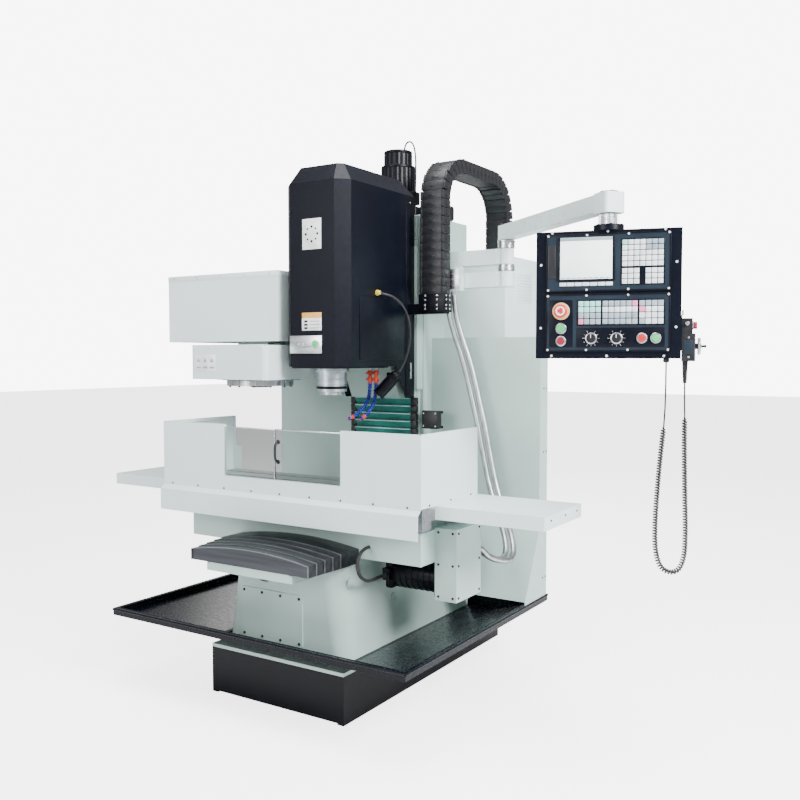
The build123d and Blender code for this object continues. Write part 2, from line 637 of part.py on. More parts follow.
def head_cover():
    cover = head_solid(0, HEAD_BOTTOM) - head_solid(SHEET, HEAD_BOTTOM - 1)
    inside = HEAD_W / 2 - SHEET
    cover -= block(-inside, inside, HEAD_BACK - 10, HEAD_BACK + 1, HEAD_BOTTOM - 1, HEAD_EAVES - 20)
    cheek = [(HEAD_SLANT_TOP, HEAD_BOTTOM + 1), (HEAD_BACK, HEAD_BOTTOM + 1), (HEAD_BACK, HEAD_FOOT),
             (HEAD_SLANT_LOW, HEAD_FOOT)]
    half = HEAD_W / 2
    for side in (-1, 1):
        x0, x1 = sorted((side * half, side * (half - SHEET)))
        cover += prism_x(cheek, x0, x1)
    cover -= rod(RELEASE_R + BUTTON_CLEAR, (RELEASE_X, HEAD_FRONT - 20, RELEASE_Z), (RELEASE_X, HEAD_FRONT + 9, RELEASE_Z))
    plate = block(RELEASE_X - RELEASE_PLATE_LEFT, RELEASE_X + RELEASE_PLATE_RIGHT, HEAD_FRONT - LABEL_T,
                  HEAD_FRONT, RELEASE_Z - RELEASE_PLATE_HALF, RELEASE_Z + RELEASE_PLATE_HALF)
    plate -= rod(RELEASE_R + BUTTON_CLEAR, (RELEASE_X, HEAD_FRONT - 20, RELEASE_Z), (RELEASE_X, HEAD_FRONT + 9, RELEASE_Z))
    return cover, plate


def tool_release_button():
    stem = rod(RELEASE_R, (RELEASE_X, HEAD_FRONT - 13, RELEASE_Z), (RELEASE_X, HEAD_FRONT + 8, RELEASE_Z))
    return fillet(stem.edges().group_by(Axis.Y)[0], 2)


def head_casting():
    half = ARM_W / 2
    back = HEAD_BACK - SHEET
    arm_low = HEAD_BOTTOM + 5
    profile = [(back, HEAD_FOOT), (HEAD_SLANT_LOW, HEAD_FOOT), (HEAD_SLANT_TOP, arm_low),
               (HEAD_FRONT + 20, arm_low), (HEAD_FRONT + 20, 1600), (-175, 1600), (-175, 1760),
               (90, 1760), (90, 1960), (back, 1960)]
    body = prism_x(profile, -half, half)
    body -= block(-half + 30, half - 30, -150, 60, HEAD_BOTTOM + 50, 1735)
    body -= rod(SLEEVE_R + FIT, (0, SPINDLE_Y, arm_low - 1), (0, SPINDLE_Y, 1601))
    for side in (-1, 1):
        x = side * ZWAY_X
        body += block(x - 25, x + 25, back - 20, COLUMN_FRONT - ZWAY_OUT - GAP, HEAD_FOOT, 1930)
        edge = side * (ZWAY_X + ZWAY_W / 2 + GAP)
        x0, x1 = sorted((edge, side * (COLUMN_W / 2 - 1)))
        body += block(x0, x1, back + 0.5, COLUMN_FRONT - 5, 1250, 1900)
        x0, x1 = sorted((side * (ZWAY_X - 20), side * (COLUMN_W / 2 - 1)))
        body += block(x0, x1, HEAD_BACK + 1, COLUMN_FRONT - ZWAY_OUT - GAP, 1250, 1900)
    body += block(-38, 38, back - 5, Z_SCREW_Y + 30, 1560, 1640)
    body -= rod(SCREW_R + FIT, (0, Z_SCREW_Y, 1500), (0, Z_SCREW_Y, 1700))
    return body


def spindle_motor():
    body = rod(88, (0, -60, 1772), (0, -60, 2075))
    flange = block(-98, 98, -158, 38, 1760, 1772)
    return body + flange


def spindle_housing():
    flange = rod(SLEEVE_FLANGE_R, (0, SPINDLE_Y, 1335), (0, SPINDLE_Y, HEAD_BOTTOM + 5))
    sleeve = rod(SLEEVE_R, (0, SPINDLE_Y, SLEEVE_LOW), (0, SPINDLE_Y, 1600))
    cap = rod(SLEEVE_R + 10, (0, SPINDLE_Y, 1600), (0, SPINDLE_Y, 1612))
    return flange + sleeve + cap - rod(SHAFT_R + FIT, (0, SPINDLE_Y, 1200), (0, SPINDLE_Y, 1700))


def spindle():
    nose = rod(NOSE_R, (0, SPINDLE_Y, NOSE_LOW), (0, SPINDLE_Y, SLEEVE_LOW - GAP))
    shaft = rod(SHAFT_R, (0, SPINDLE_Y, SLEEVE_LOW - 1), (0, SPINDLE_Y, 1690))
    pulley = rod(62, (0, SPINDLE_Y, 1625), (0, SPINDLE_Y, 1665))
    taper = Pos(0, SPINDLE_Y, NOSE_LOW + TAPER_DEPTH / 2) * Cone(
        TAPER_R, TAPER_R - TAPER_DEPTH * 7 / 48, TAPER_DEPTH)
    return nose + shaft + pulley - taper


def coolant_nozzles():
    """Valve block and two jointed hoses with tapered tips."""
    top = HEAD_BOTTOM + 5
    manifold = block(36, 100, -76, -40, 1282, top)
    hoses = [[(52, -58, 1283), (52, -60, 1222), (34, -84, 1168), (4, -108, 1136)],
             [(84, -58, 1283), (86, -62, 1214), (74, -92, 1160), (58, -118, 1134)]]
    tips = [(-20, -128, 1120), (47, -137, 1118)]
    shape = manifold
    for hose, tip in zip(hoses, tips):
        shape += tube(hose, 9, "coolant_hose")
        shape += rod(5, hose[-1], tip)
    return shape


def work_lamp():
    start = (172, -30, 1318)
    end = (112, -86, 1232)
    body = rod(27, start, end)
    collar = rod(18, (182, -20.7, 1332.3), start)
    strap = block(130, HEAD_W / 2 - SHEET, -45, -15, 1290, 1330)
    return body + collar + strap


def lamp_cable():
    route = [(166, -178, 1671), (196, -172, 1668), (222, -120, 1655), (230, -50, 1612), (232, -12, 1545),
             (226, 2, 1470), (212, -2, 1405), (192, -12, 1352), (182.6, -20.1, 1333.2)]
    return tube(route, 4.5, "lamp_cable")


def z_way_bellows():
    """Pleated cover between the head foot and the bottom of the Z ways."""
    points = []
    y = HEAD_BACK - 4
    low = 790.0
    pleats = 10
    pitch = (HEAD_FOOT - low) / pleats
    for k in range(pleats):
        points += [(y, low + k * pitch), (y - 14, low + (k + 0.5) * pitch)]
    points += [(y, HEAD_FOOT), (y + 12, HEAD_FOOT), (y + 12, low)]
    return prism_x(points, -153, 153)


def energy_chain():
    """Link chain in an arch: the front leg is on the head, the rear leg on the cabinet roof."""
    mid = (CHAIN_FRONT + CHAIN_BACK) / 2
    width = CHAIN_BACK - CHAIN_FRONT
    tall = 2 * CHAIN_DROP
    plane = Plane.YZ.offset(CHAIN_X)
    outer = Pos(mid, CHAIN_TOP - tall / 2) * RectangleRounded(width, tall, CHAIN_BEND)
    inner = Pos(mid, CHAIN_TOP - CHAIN_T - tall / 2) * RectangleRounded(
        width - 2 * CHAIN_T, tall, CHAIN_BEND - CHAIN_T)
    band = extrude(plane * (outer - inner), amount=CHAIN_W)
    band -= block(CHAIN_X - 1, CHAIN_X + CHAIN_W + 1, CHAIN_FRONT - 1, mid, 0, CHAIN_FRONT_LOW)
    band -= block(CHAIN_X - 1, CHAIN_X + CHAIN_W + 1, mid, CHAIN_BACK + 1, 0, CABINET_TOP + 10)
    return band


def chain_brackets():
    """Head bracket under the front leg, and the seat of the rear leg on the cabinet roof."""
    x0 = HEAD_W / 2
    head = block(x0, CHAIN_X + CHAIN_W, CHAIN_FRONT + 5, HEAD_BACK - 12, CHAIN_FRONT_LOW - 45, CHAIN_FRONT_LOW)
    seat = block(CHAIN_X, CHAIN_X + CHAIN_W, CHAIN_BACK - CHAIN_T, CHAIN_BACK, CABINET_TOP, CABINET_TOP + 10)
    return head, seat


# ---- tool magazine -----------------------------------------------------------------------------------
def magazine_bracket():
    half = COLUMN_W / 2
    beam = block(MAG_RIGHT - MAG_W + 60, -half, MAG_BACK, MAG_BACK + 45, 1520, 1640)
    rails = []
    for y in (-170, -300):
        rails.append(block(MAG_RIGHT - MAG_W + 4, MAG_RIGHT - 4, y - 12, y + 12, MAG_LOW + 4, MAG_LOW + 20))
    spine = block(-560, -500, -330, MAG_BACK, MAG_LOW + 20, MAG_LOW + 60)
    spine += block(-560, -500, MAG_BACK - 60, MAG_BACK + 1, MAG_LOW + 20, 1600)
    return beam + spine + rails[0] + rails[1]


def magazine_cover():
    x0 = MAG_RIGHT - MAG_W
    outer = block(x0, MAG_RIGHT, MAG_FRONT, MAG_BACK, MAG_LOW, MAG_TOP)
    inner = block(x0 + SHEET, MAG_RIGHT - SHEET, MAG_FRONT + SHEET, MAG_BACK - SHEET, MAG_LOW - 1, MAG_TOP - SHEET)
    shell = outer - inner
    return shell - block(-562, -498, MAG_BACK - 5, MAG_BACK + 5, MAG_LOW - 1, 1602)


def drum_plan(shrink):
    left = DRUM_X - DRUM_W / 2 + shrink
    right = DRUM_X + DRUM_W / 2 - shrink
    front = SPINDLE_Y - DRUM_W / 2 + 5 + shrink
    back = SPINDLE_Y + DRUM_W / 2 - 5 - shrink
    return left, right, front, back


def drum_body(shrink, low, high):
    left, right, front, back = drum_plan(shrink)
    body = block(left, right, front, back, low, high)
    rear = body.edges().filter_by(Axis.Z).filter_by_position(Axis.Y, back - 1, back + 1)
    body = fillet(rear, DRUM_REAR_R - shrink)
    fore = body.edges().filter_by(Axis.Z).filter_by_position(Axis.Y, front - 1, front + 1)
    return fillet(fore, DRUM_FORE_R - shrink)


def carousel_housing():
    """Drum cover with its slide carriage above; open at the bottom."""
    shell = drum_body(0, DRUM_LOW, DRUM_TOP) - drum_body(SHEET, DRUM_LOW - 1, DRUM_TOP - SHEET)
    carriage = block(DRUM_X - 90, DRUM_X + 90, -320, -150, DRUM_TOP, MAG_LOW + 4 - GAP)
    hanger = rod(22, (DRUM_X, SPINDLE_Y, DRUM_TOP - 60), (DRUM_X, SPINDLE_Y, DRUM_TOP))
    for y in (-170, -300):
        for edge in (y - 12 - GAP, y + 12 + GAP):
            y0, y1 = (edge - 8, edge) if edge < y else (edge, edge + 8)
            carriage += block(DRUM_X - 80, DRUM_X + 80, y0, y1, MAG_LOW - 2, MAG_LOW + 18)
    return shell + carriage + hanger


def carousel():
    """Tool disc with open pockets round its rim, hung from a hub."""
    disc = rod(DISC_R, (DRUM_X, SPINDLE_Y, DISC_LOW), (DRUM_X, SPINDLE_Y, DISC_LOW + 25))
    plate = rod(DISC_R + 45, (DRUM_X, SPINDLE_Y, DRUM_LOW + 6), (DRUM_X, SPINDLE_Y, DRUM_LOW + 24))
    hub = rod(58, (DRUM_X, SPINDLE_Y, DISC_LOW), (DRUM_X, SPINDLE_Y, DRUM_TOP - 30))
    for k in range(POCKETS):
        turn = 2 * math.pi * k / POCKETS
        x = DRUM_X + (DISC_R + 33) * math.cos(turn)
        y = SPINDLE_Y + (DISC_R + 33) * math.sin(turn)
        plate -= rod(24, (x, y, DRUM_LOW), (x, y, DRUM_LOW + 30))
    body = disc + plate + hub
    return body - rod(22 + FIT, (DRUM_X, SPINDLE_Y, DRUM_TOP - 61), (DRUM_X, SPINDLE_Y, DRUM_TOP))


# ---- arm, panel and pendant ----------------------------------------------------------------------------
def arm_bracket():
    x0 = COLUMN_W / 2
    y0 = PIVOT_Y - BEAM_W / 2
    y1 = PIVOT_Y + BEAM_W / 2
    shape = block(x0, x0 + 12, COLUMN_FRONT + 1, y1 + 20, BEAM_LOW - 15, BEAM_UP + BEAM_H + 15)
    for z in (BEAM_LOW, BEAM_UP):
        shape += block(x0 + 1, PIVOT_X, y0, y1, z, z + BEAM_H)
        shape += rod(34, (PIVOT_X, PIVOT_Y, z), (PIVOT_X, PIVOT_Y, z + BEAM_H))
    shape += rod(30, (PIVOT_X, PIVOT_Y, BEAM_LOW), (PIVOT_X, PIVOT_Y, ARM_Z - GAP))
    return shape + rod(PIN_R, (PIVOT_X, PIVOT_Y, BEAM_UP), (PIVOT_X, PIVOT_Y, ARM_Z + 48))


def swing_arm():
    place = Pos(PIVOT_X, PIVOT_Y, 0) * Rot(0, 0, ARM_ANGLE)
    beam = block(-34, ARM_LENGTH, -30, 30, ARM_Z, ARM_Z + ARM_H)
    beam = fillet(beam.edges().filter_by(Axis.Z).group_by(Axis.X)[0], 16)
    head = block(ARM_LENGTH - 44, ARM_LENGTH + 42, -40, 40, ARM_Z - 10, ARM_Z + ARM_H)
    head = fillet(head.edges().filter_by(Axis.Z), 12)
    arm = beam + head
    arm -= rod(PIN_R + FIT, (0, 0, ARM_Z - 1), (0, 0, ARM_Z + 50))
    arm -= rod(PIN_R + FIT, (ARM_LENGTH, 0, ARM_Z - 12), (ARM_LENGTH, 0, ARM_Z + 50))
    return place * arm


def in_panel(shape):
    """Place a shape drawn in the panel's own frame: X across, -Y out of the face."""
    return PANEL_FRAME * shape


def panel_housing():
    half = PANEL_W / 2
    outer = block(-half, half, PANEL_FACE, PANEL_REAR, PANEL_LOW, PANEL_TOP)
    inner = block(-half + 3, half - 3, PANEL_FACE + 3, PANEL_REAR - 3, PANEL_LOW + 3, PANEL_TOP - 3)
    shell = outer - inner
    for _, x, z, r in CONTROLS:
        shell -= rod(r + BUTTON_CLEAR, (x, PANEL_FACE - 1, z), (x, PANEL_FACE + 4, z))
    shell += rod(52, (0, 0, PANEL_TOP), (0, 0, PANEL_TOP + 20))
    shell += rod(29, (0, 0, PANEL_TOP + 19), (0, 0, ARM_Z - 10 - GAP))
    shell += rod(PIN_R, (0, 0, PANEL_TOP + 19), (0, 0, ARM_Z + 48))
    bracket = block(half, half + 3, -38, 30, 1420, 1540)
    return in_panel(shell), in_panel(bracket)


def control_units():
    """Upper screen unit and lower key unit on the front of the panel."""
    half = UNIT_W / 2
    gap = 8
    lower = PANEL_LOW + 24
    units = []
    for z in (lower, lower + UNIT_H + gap):
        units.append(block(-half, half, PANEL_FACE - UNIT_T, PANEL_FACE, z, z + UNIT_H))
    for _, x, z, r in CONTROLS:
        units[0] -= rod(r + BUTTON_CLEAR, (x, PANEL_FACE - 9, z), (x, PANEL_FACE + 1, z))
    return [in_panel(unit) for unit in units]


def panel_control(name, x, z, r):
    """Push button or rotary switch on a stem through the unit."""
    face = PANEL_FACE - UNIT_T
    if name == "e_stop_button":
        shape = rod(r, (x, face - 12, z), (x, PANEL_FACE + 16, z))
        shape += rod(r + 7, (x, face - 28, z), (x, face - 12, z))
        return in_panel(fillet(shape.edges().group_by(Axis.Y)[0], 5))
    if "knob" in name:
        shape = rod(r, (x, face - 22, z), (x, PANEL_FACE + 12, z))
        shape += block(x - 2.5, x + 2.5, face - 24, face - 10, z - r + 1, z + r - 1)
        return in_panel(shape)
    shape = rod(r, (x, face - 8, z), (x, PANEL_FACE + 12, z))
    return in_panel(fillet(shape.edges().group_by(Axis.Y)[0], 1.5))


def pendant_body():
    half = PANEL_W / 2 + 3
    body = block(half, half + 44, -34, 30, PENDANT_LOW, 1478)
    body = fillet(body.edges().filter_by(Axis.Z).group_by(Axis.X)[-1], 6)
    top = block(half, half + 34, -28, 24, 1477, 1530)
    body += top
    body += rod(10, (half + 43, 0, 1435), (half + 51.6, 0, 1435))
    body -= rod(5 + FIT, (half + 38, 0, 1435), (half + 60, 0, 1435))
    body -= rod(4 + FIT, (half + 20, 0, 1506), (half + 40, 0, 1506))
    return in_panel(body)


def pendant_handwheel():
    x = PANEL_W / 2 + 3 + 52
    wheel = rod(29, (x, 0, 1435), (x + 10, 0, 1435))
    wheel += rod(5, (x - 13, 0, 1435), (x + 1, 0, 1435))
    return in_panel(wheel + rod(5.5, (x + 9, 18, 1435), (x + 30, 18, 1435)))


def pendant_knob():
    x = PANEL_W / 2 + 3 + 34.4
    knob = rod(12, (x, 0, 1506), (x + 15, 0, 1506))
    return in_panel(knob + rod(4, (x - 13, 0, 1506), (x + 1, 0, 1506)))


def cord_glands():
    """Gland under the panel and ribbed strain relief under the pendant."""
    x, y, z = CORD[0]
    gland = rod(11, (x, y, z), (x, y, PANEL_LOW))
    x, y, z = CORD[-1]
    relief = Pos(x, y, (z + PENDANT_LOW) / 2) * Cone(7, 11, PENDANT_LOW - z)
    return in_panel(gland), in_panel(relief)


# Cord route in the panel's frame, hung between the gland and the pendant's strain relief.
CORD = [(198, 6, 1379), (198, 6, 1300), (197, 8, 1222), (193, 6, 1157), (184, 7, 1070), (175, 5, 950),
        (168, 8, 830), (169, 6, 722), (190, 8, 655), (243, 7, 647), (268, 5, 702), (270, 8, 800),
        (266, 6, 920), (263, 8, 1040), (261, 5, 1135), (262, 7, 1192), (260, 5, 1250), (260, 5, 1309)]
COIL_START = 3
COIL_END = 15


def pendant_cord():
    left = tube([in_panel_point(p) for p in CORD[:COIL_START + 1]], CORD_R, "cord_left")
    right = tube([in_panel_point(p) for p in CORD[COIL_END:]], CORD_R, "cord_right")
    return left, right


def pendant_cord_coil():
    return tube([in_panel_point(p) for p in CORD[COIL_START:COIL_END + 1]], COIL_R, "cord_coil")


def in_panel_point(point):
    turn = math.radians(PANEL_TURN)
    x, y, z = point
    return (PANEL_X + x * math.cos(turn) - y * math.sin(turn),
            PANEL_Y + x * math.sin(turn) + y * math.cos(turn), z)


def junction_box():
    y1 = PIVOT_Y - BEAM_W / 2
    return block(CONDUIT_X[0] - 16, CONDUIT_X[1] + 40, y1 - 32, y1, JUNCTION_LOW, JUNCTION_LOW + 106)


def cable_conduits():
    """Two corrugated conduits from the junction box to the back of the X drive box."""
    shapes = []
    for x, x_end in zip(CONDUIT_X, CONDUIT_END):
        shift = x - CONDUIT_X[0]
        y = PIVOT_Y - BEAM_W / 2 - 16
        route = [(x, y, JUNCTION_LOW), (x, y, 1610), (x + 22, y + 22, 1500), (x + 66, y + 34, 1370),
                 (x + 96, y + 41, 1240), (x + 134, y + 40, 1095), (x + 166, y + 36, 950),
                 (x + 202, y + 29, 810), (x + 262, y + 2, 690), (x + 318, y - 44, 600),
                 (x + 346, y - 110, 552), (x + 344, y - 190, 556), (x_end + 12, y - 262, 598 - shift / 2),
                 (x_end, y - 316, 652 - shift / 2), (x_end, DRIVE_BACK, 652 - shift / 2)]
        shapes.append(tube(route, CONDUIT_R, "conduit"))
    return shapes


def x_motor_cable():
    x = SADDLE_W / 2 - X_MOTOR_L - 10
    y = SADDLE_FRONT
    plug = (DRIVE_FRONT + DRIVE_BACK) / 2 - X_PLUG_OUT
    route = [(x, y, 662), (x, y - 34, 662), (x - 2, y - 66, 640), (x - 3, y - 78, 600), (x - 1, y - 64, 560),
             (x + 2, y - 26, 534), (x, y + 20, 527), (x, y + 66, X_MOTOR_Z), (x, plug, X_MOTOR_Z)]
    return tube(route, 7, "x_motor_cable")


# ---- writing the parts ---------------------------------------------------------------------------
os.makedirs("parts", exist_ok=True)

save("plinth", plinth())
save("base_casting", base_casting())
save("access_panel", access_panel())
save("chip_tray", chip_tray())
save("y_servo_motor", y_servo_motor())
save("y_ball_screw", y_ball_screw())
for stage in range(COVER_STAGES):
    save(f"y_cover_stage_{stage}", cover_stage(stage))
save("saddle", saddle())
save("x_servo_motor", x_servo_motor())
save("x_drive_cover", x_drive_cover())
save("x_motor_cable", x_motor_cable())
save("x_ball_screw", x_ball_screw())

save("table", table())
save("table_guard", table_guard(), guard_apron())
save("guard_window_left", guard_pane(-NOTCH_W / 2 - 15, PANE_SPLIT + 4, 0))
save("guard_window_right", guard_pane(PANE_SPLIT - 4, NOTCH_W / 2 + 15, 1))
save("wing_shelves", *both_sides(wing_shelf()))

save("column", column())
save("z_ball_screw", z_ball_screw())
save("z_servo_motor", z_servo_motor())
save("z_motor_cable", z_motor_cable())
save("rear_splash_guard", rear_splash_guard())
save("electrical_cabinet", electrical_cabinet(), chain_brackets()[1])
save("cabinet_door", cabinet_door())

save("head_casting", head_casting())
save("head_cover", *head_cover())
save("tool_release_button", tool_release_button())
save("spindle_motor", spindle_motor())
save("spindle_housing", spindle_housing())
save("spindle", spindle())
save("coolant_nozzles", coolant_nozzles())
save("work_lamp", work_lamp())
save("lamp_cable", lamp_cable())
save("z_way_bellows", z_way_bellows())
save("energy_chain", energy_chain())
save("chain_bracket", chain_brackets()[0])

save("magazine_bracket", magazine_bracket())
save("magazine_cover", magazine_cover())
save("carousel_housing", carousel_housing())
save("carousel", carousel())

save("arm_bracket", arm_bracket(), junction_box())
save("cable_conduits", *cable_conduits())
save("swing_arm", swing_arm())
save("panel_housing", *panel_housing())
save("control_units", *control_units())
for control in CONTROLS:
    save(control[0], panel_control(*control))
save("pendant_body", pendant_body())
save("pendant_handwheel", pendant_handwheel())
save("pendant_selector", pendant_knob())
save("cord_glands", *cord_glands())
save("pendant_cord", *pendant_cord())
save("pendant_cord_coil", pendant_cord_coil())
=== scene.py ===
import json
import math

import bmesh
import bpy
from mathutils import Matrix, Vector


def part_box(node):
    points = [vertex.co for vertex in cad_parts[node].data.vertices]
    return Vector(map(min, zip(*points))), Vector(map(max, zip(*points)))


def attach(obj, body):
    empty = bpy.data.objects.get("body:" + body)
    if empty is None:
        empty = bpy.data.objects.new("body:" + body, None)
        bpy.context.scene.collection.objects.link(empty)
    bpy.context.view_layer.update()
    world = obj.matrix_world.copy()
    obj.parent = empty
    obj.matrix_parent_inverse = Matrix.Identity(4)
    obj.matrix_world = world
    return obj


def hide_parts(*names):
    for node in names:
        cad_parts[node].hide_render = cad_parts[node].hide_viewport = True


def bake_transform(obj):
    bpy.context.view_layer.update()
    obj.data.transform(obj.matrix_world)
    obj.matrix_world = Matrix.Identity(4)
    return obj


bl_info = {
    "name": "Bed Mill Parts",
    "version": (1, 0, 0),
    "blender": (4, 5, 0),
    "location": "View3D > Sidebar > Bed Mill",
    "description": "Builds the finishes and fittings of a bed-type milling machine round its packed frame",
    "category": "Object",
}

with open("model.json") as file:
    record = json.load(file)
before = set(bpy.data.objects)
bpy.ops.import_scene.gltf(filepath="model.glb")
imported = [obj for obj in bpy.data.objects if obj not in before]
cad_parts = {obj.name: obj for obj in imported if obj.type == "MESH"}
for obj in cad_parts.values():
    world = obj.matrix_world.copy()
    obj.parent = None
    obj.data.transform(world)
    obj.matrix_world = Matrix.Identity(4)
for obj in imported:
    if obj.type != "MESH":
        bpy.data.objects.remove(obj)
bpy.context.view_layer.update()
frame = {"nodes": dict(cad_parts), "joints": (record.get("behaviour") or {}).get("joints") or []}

MM = 0.001


def joint(name):
    return next(j for j in frame["joints"] if j["name"] == name)


# ---- places worked out from the frame ------------------------------------------------------------
panel_pivot = joint("panel_swivel")["pos_m"]
inward = joint("e_stop_press")["axis"]
PANEL = Matrix.Translation((panel_pivot[0], panel_pivot[1], 0)) @ Matrix.Rotation(
    math.atan2(-inward[0], inward[1]), 4, "Z")
HERE = Matrix.Identity(4)

# Places and sizes that several pieces share, in millimetres.
RELEASE = (22, 1450)
SPINDLE_Y = -272
GUARD_HALF = 656
GUARD_FRONT = -619
GUARD_BACK = -182
GUARD_RETURN_TOP = 977
NOTCH_HALF = 298
NOTCH_LOW = 907
WINDOW_FACE = -611.6
WING_END = 1089
DRIVE_DEPTH = 95
HINGE = (-502.4, 851)
PANEL_FACE = -42
DIAL_ROW = 1463
UNIT_HEIGHTS = ((1417, 1617), (1625, 1825))
PENDANT_UNDERSIDE = 1384
WHEEL_Z = 1435

# In metres, as the code that uses them takes them.
CONDUIT_DIAMETER = 0.026
CHAIN_THICK = 0.063
CHAIN_BEND = 0.200
WIPER_RISE = 0.027

COVER_BODIES = ("machine_frame", "y_cover_1", "y_cover_2", "y_cover_3", "saddle")

# Cord routes in millimetres. The pendant's are in the panel's own frame.
PENDANT_ROUTE = ((198, 6, 1379), (198, 6, 1300), (197, 8, 1222), (193, 6, 1157), (184, 7, 1070),
                 (175, 5, 950), (168, 8, 830), (169, 6, 722), (190, 8, 655), (243, 7, 647), (268, 5, 702),
                 (270, 8, 800), (266, 6, 920), (263, 8, 1040), (261, 5, 1135), (262, 7, 1192),
                 (260, 5, 1250), (260, 5, 1309))
COIL_FIRST = 3
COIL_LAST = 15
LAMP_ROUTE = ((166, -178, 1671), (196, -172, 1668), (222, -120, 1655), (230, -50, 1612), (232, -12, 1545),
              (226, 2, 1470), (212, -2, 1405), (192, -12, 1352), (182.6, -20.1, 1333.2))
Z_MOTOR_ROUTE = ((36, 255, 2365), (36, 255, 2391), (60, 257, 2411), (86, 255, 2391), (98, 253, 2340),
                 (100, 252, 2275), (97, 254, 2200), (95, 255, 2125), (95, 255, 2050))
X_MOTOR_ROUTE = ((356, -511, 662), (356, -545, 662), (354, -577, 640), (353, -589, 600), (355, -575, 560),
                 (358, -537, 534), (356, -491, 527), (356, -445, 530), (356, -394, 530))


def conduit_route(x, x_end, low):
    return ((x, 156, 1690), (x, 156, 1610), (x + 22, 178, 1500), (x + 66, 190, 1370), (x + 96, 197, 1240),
            (x + 134, 196, 1095), (x + 166, 192, 950), (x + 202, 185, 810), (x + 262, 158, 690),
            (x + 318, 112, 600), (x + 346, 46, 552), (x + 344, -34, 556), (x_end + 12, -106, low - 54),
            (x_end, -160, low), (x_end, -208, low))


# ---- settings --------------------------------------------------------------------------------------
class MillPaint(bpy.types.PropertyGroup):
    casting: bpy.props.FloatVectorProperty(
        name="Casting", description="Enamel on the castings", subtype="COLOR", size=3,
        default=(0.43, 0.57, 0.53), min=0, max=1)
    sheet: bpy.props.FloatVectorProperty(
        name="Sheet metal", description="Powder coat on guards and boxes", subtype="COLOR", size=3,
        default=(0.70, 0.82, 0.81), min=0, max=1)
    head: bpy.props.FloatVectorProperty(
        name="Head", description="Coat on the head cover and the panel", subtype="COLOR", size=3,
        default=(0.0015, 0.0024, 0.0065), min=0, max=1)
    bellows: bpy.props.FloatVectorProperty(
        name="Bellows", description="Pleated way cover", subtype="COLOR", size=3,
        default=(0.02, 0.20, 0.17), min=0, max=1)


class MillFittings(bpy.types.PropertyGroup):
    screw: bpy.props.FloatProperty(
        name="Screw head", description="Radius of the small screw heads", subtype="DISTANCE",
        default=0.0045, min=0.001)
    cord: bpy.props.FloatProperty(
        name="Pendant cord", description="Diameter of the pendant's cord", subtype="DISTANCE",
        default=0.006, min=0.001)
    coil: bpy.props.FloatProperty(
        name="Coil", description="Outer diameter of the curly stretch", subtype="DISTANCE",
        default=0.020, min=0.008)
    coil_pitch: bpy.props.FloatProperty(
        name="Coil pitch", description="Distance between turns of the curly stretch", subtype="DISTANCE",
        default=0.0095, min=0.003)
    link: bpy.props.FloatProperty(
        name="Chain link", description="Pitch of the energy chain", subtype="DISTANCE",
        default=0.038, min=0.01)
    pleat: bpy.props.FloatProperty(
        name="Pleat", description="Pitch of the Z way bellows", subtype="DISTANCE", default=0.036, min=0.01)


def paint():
    return bpy.context.scene.mill_paint


def fittings():
    return bpy.context.scene.mill_fittings


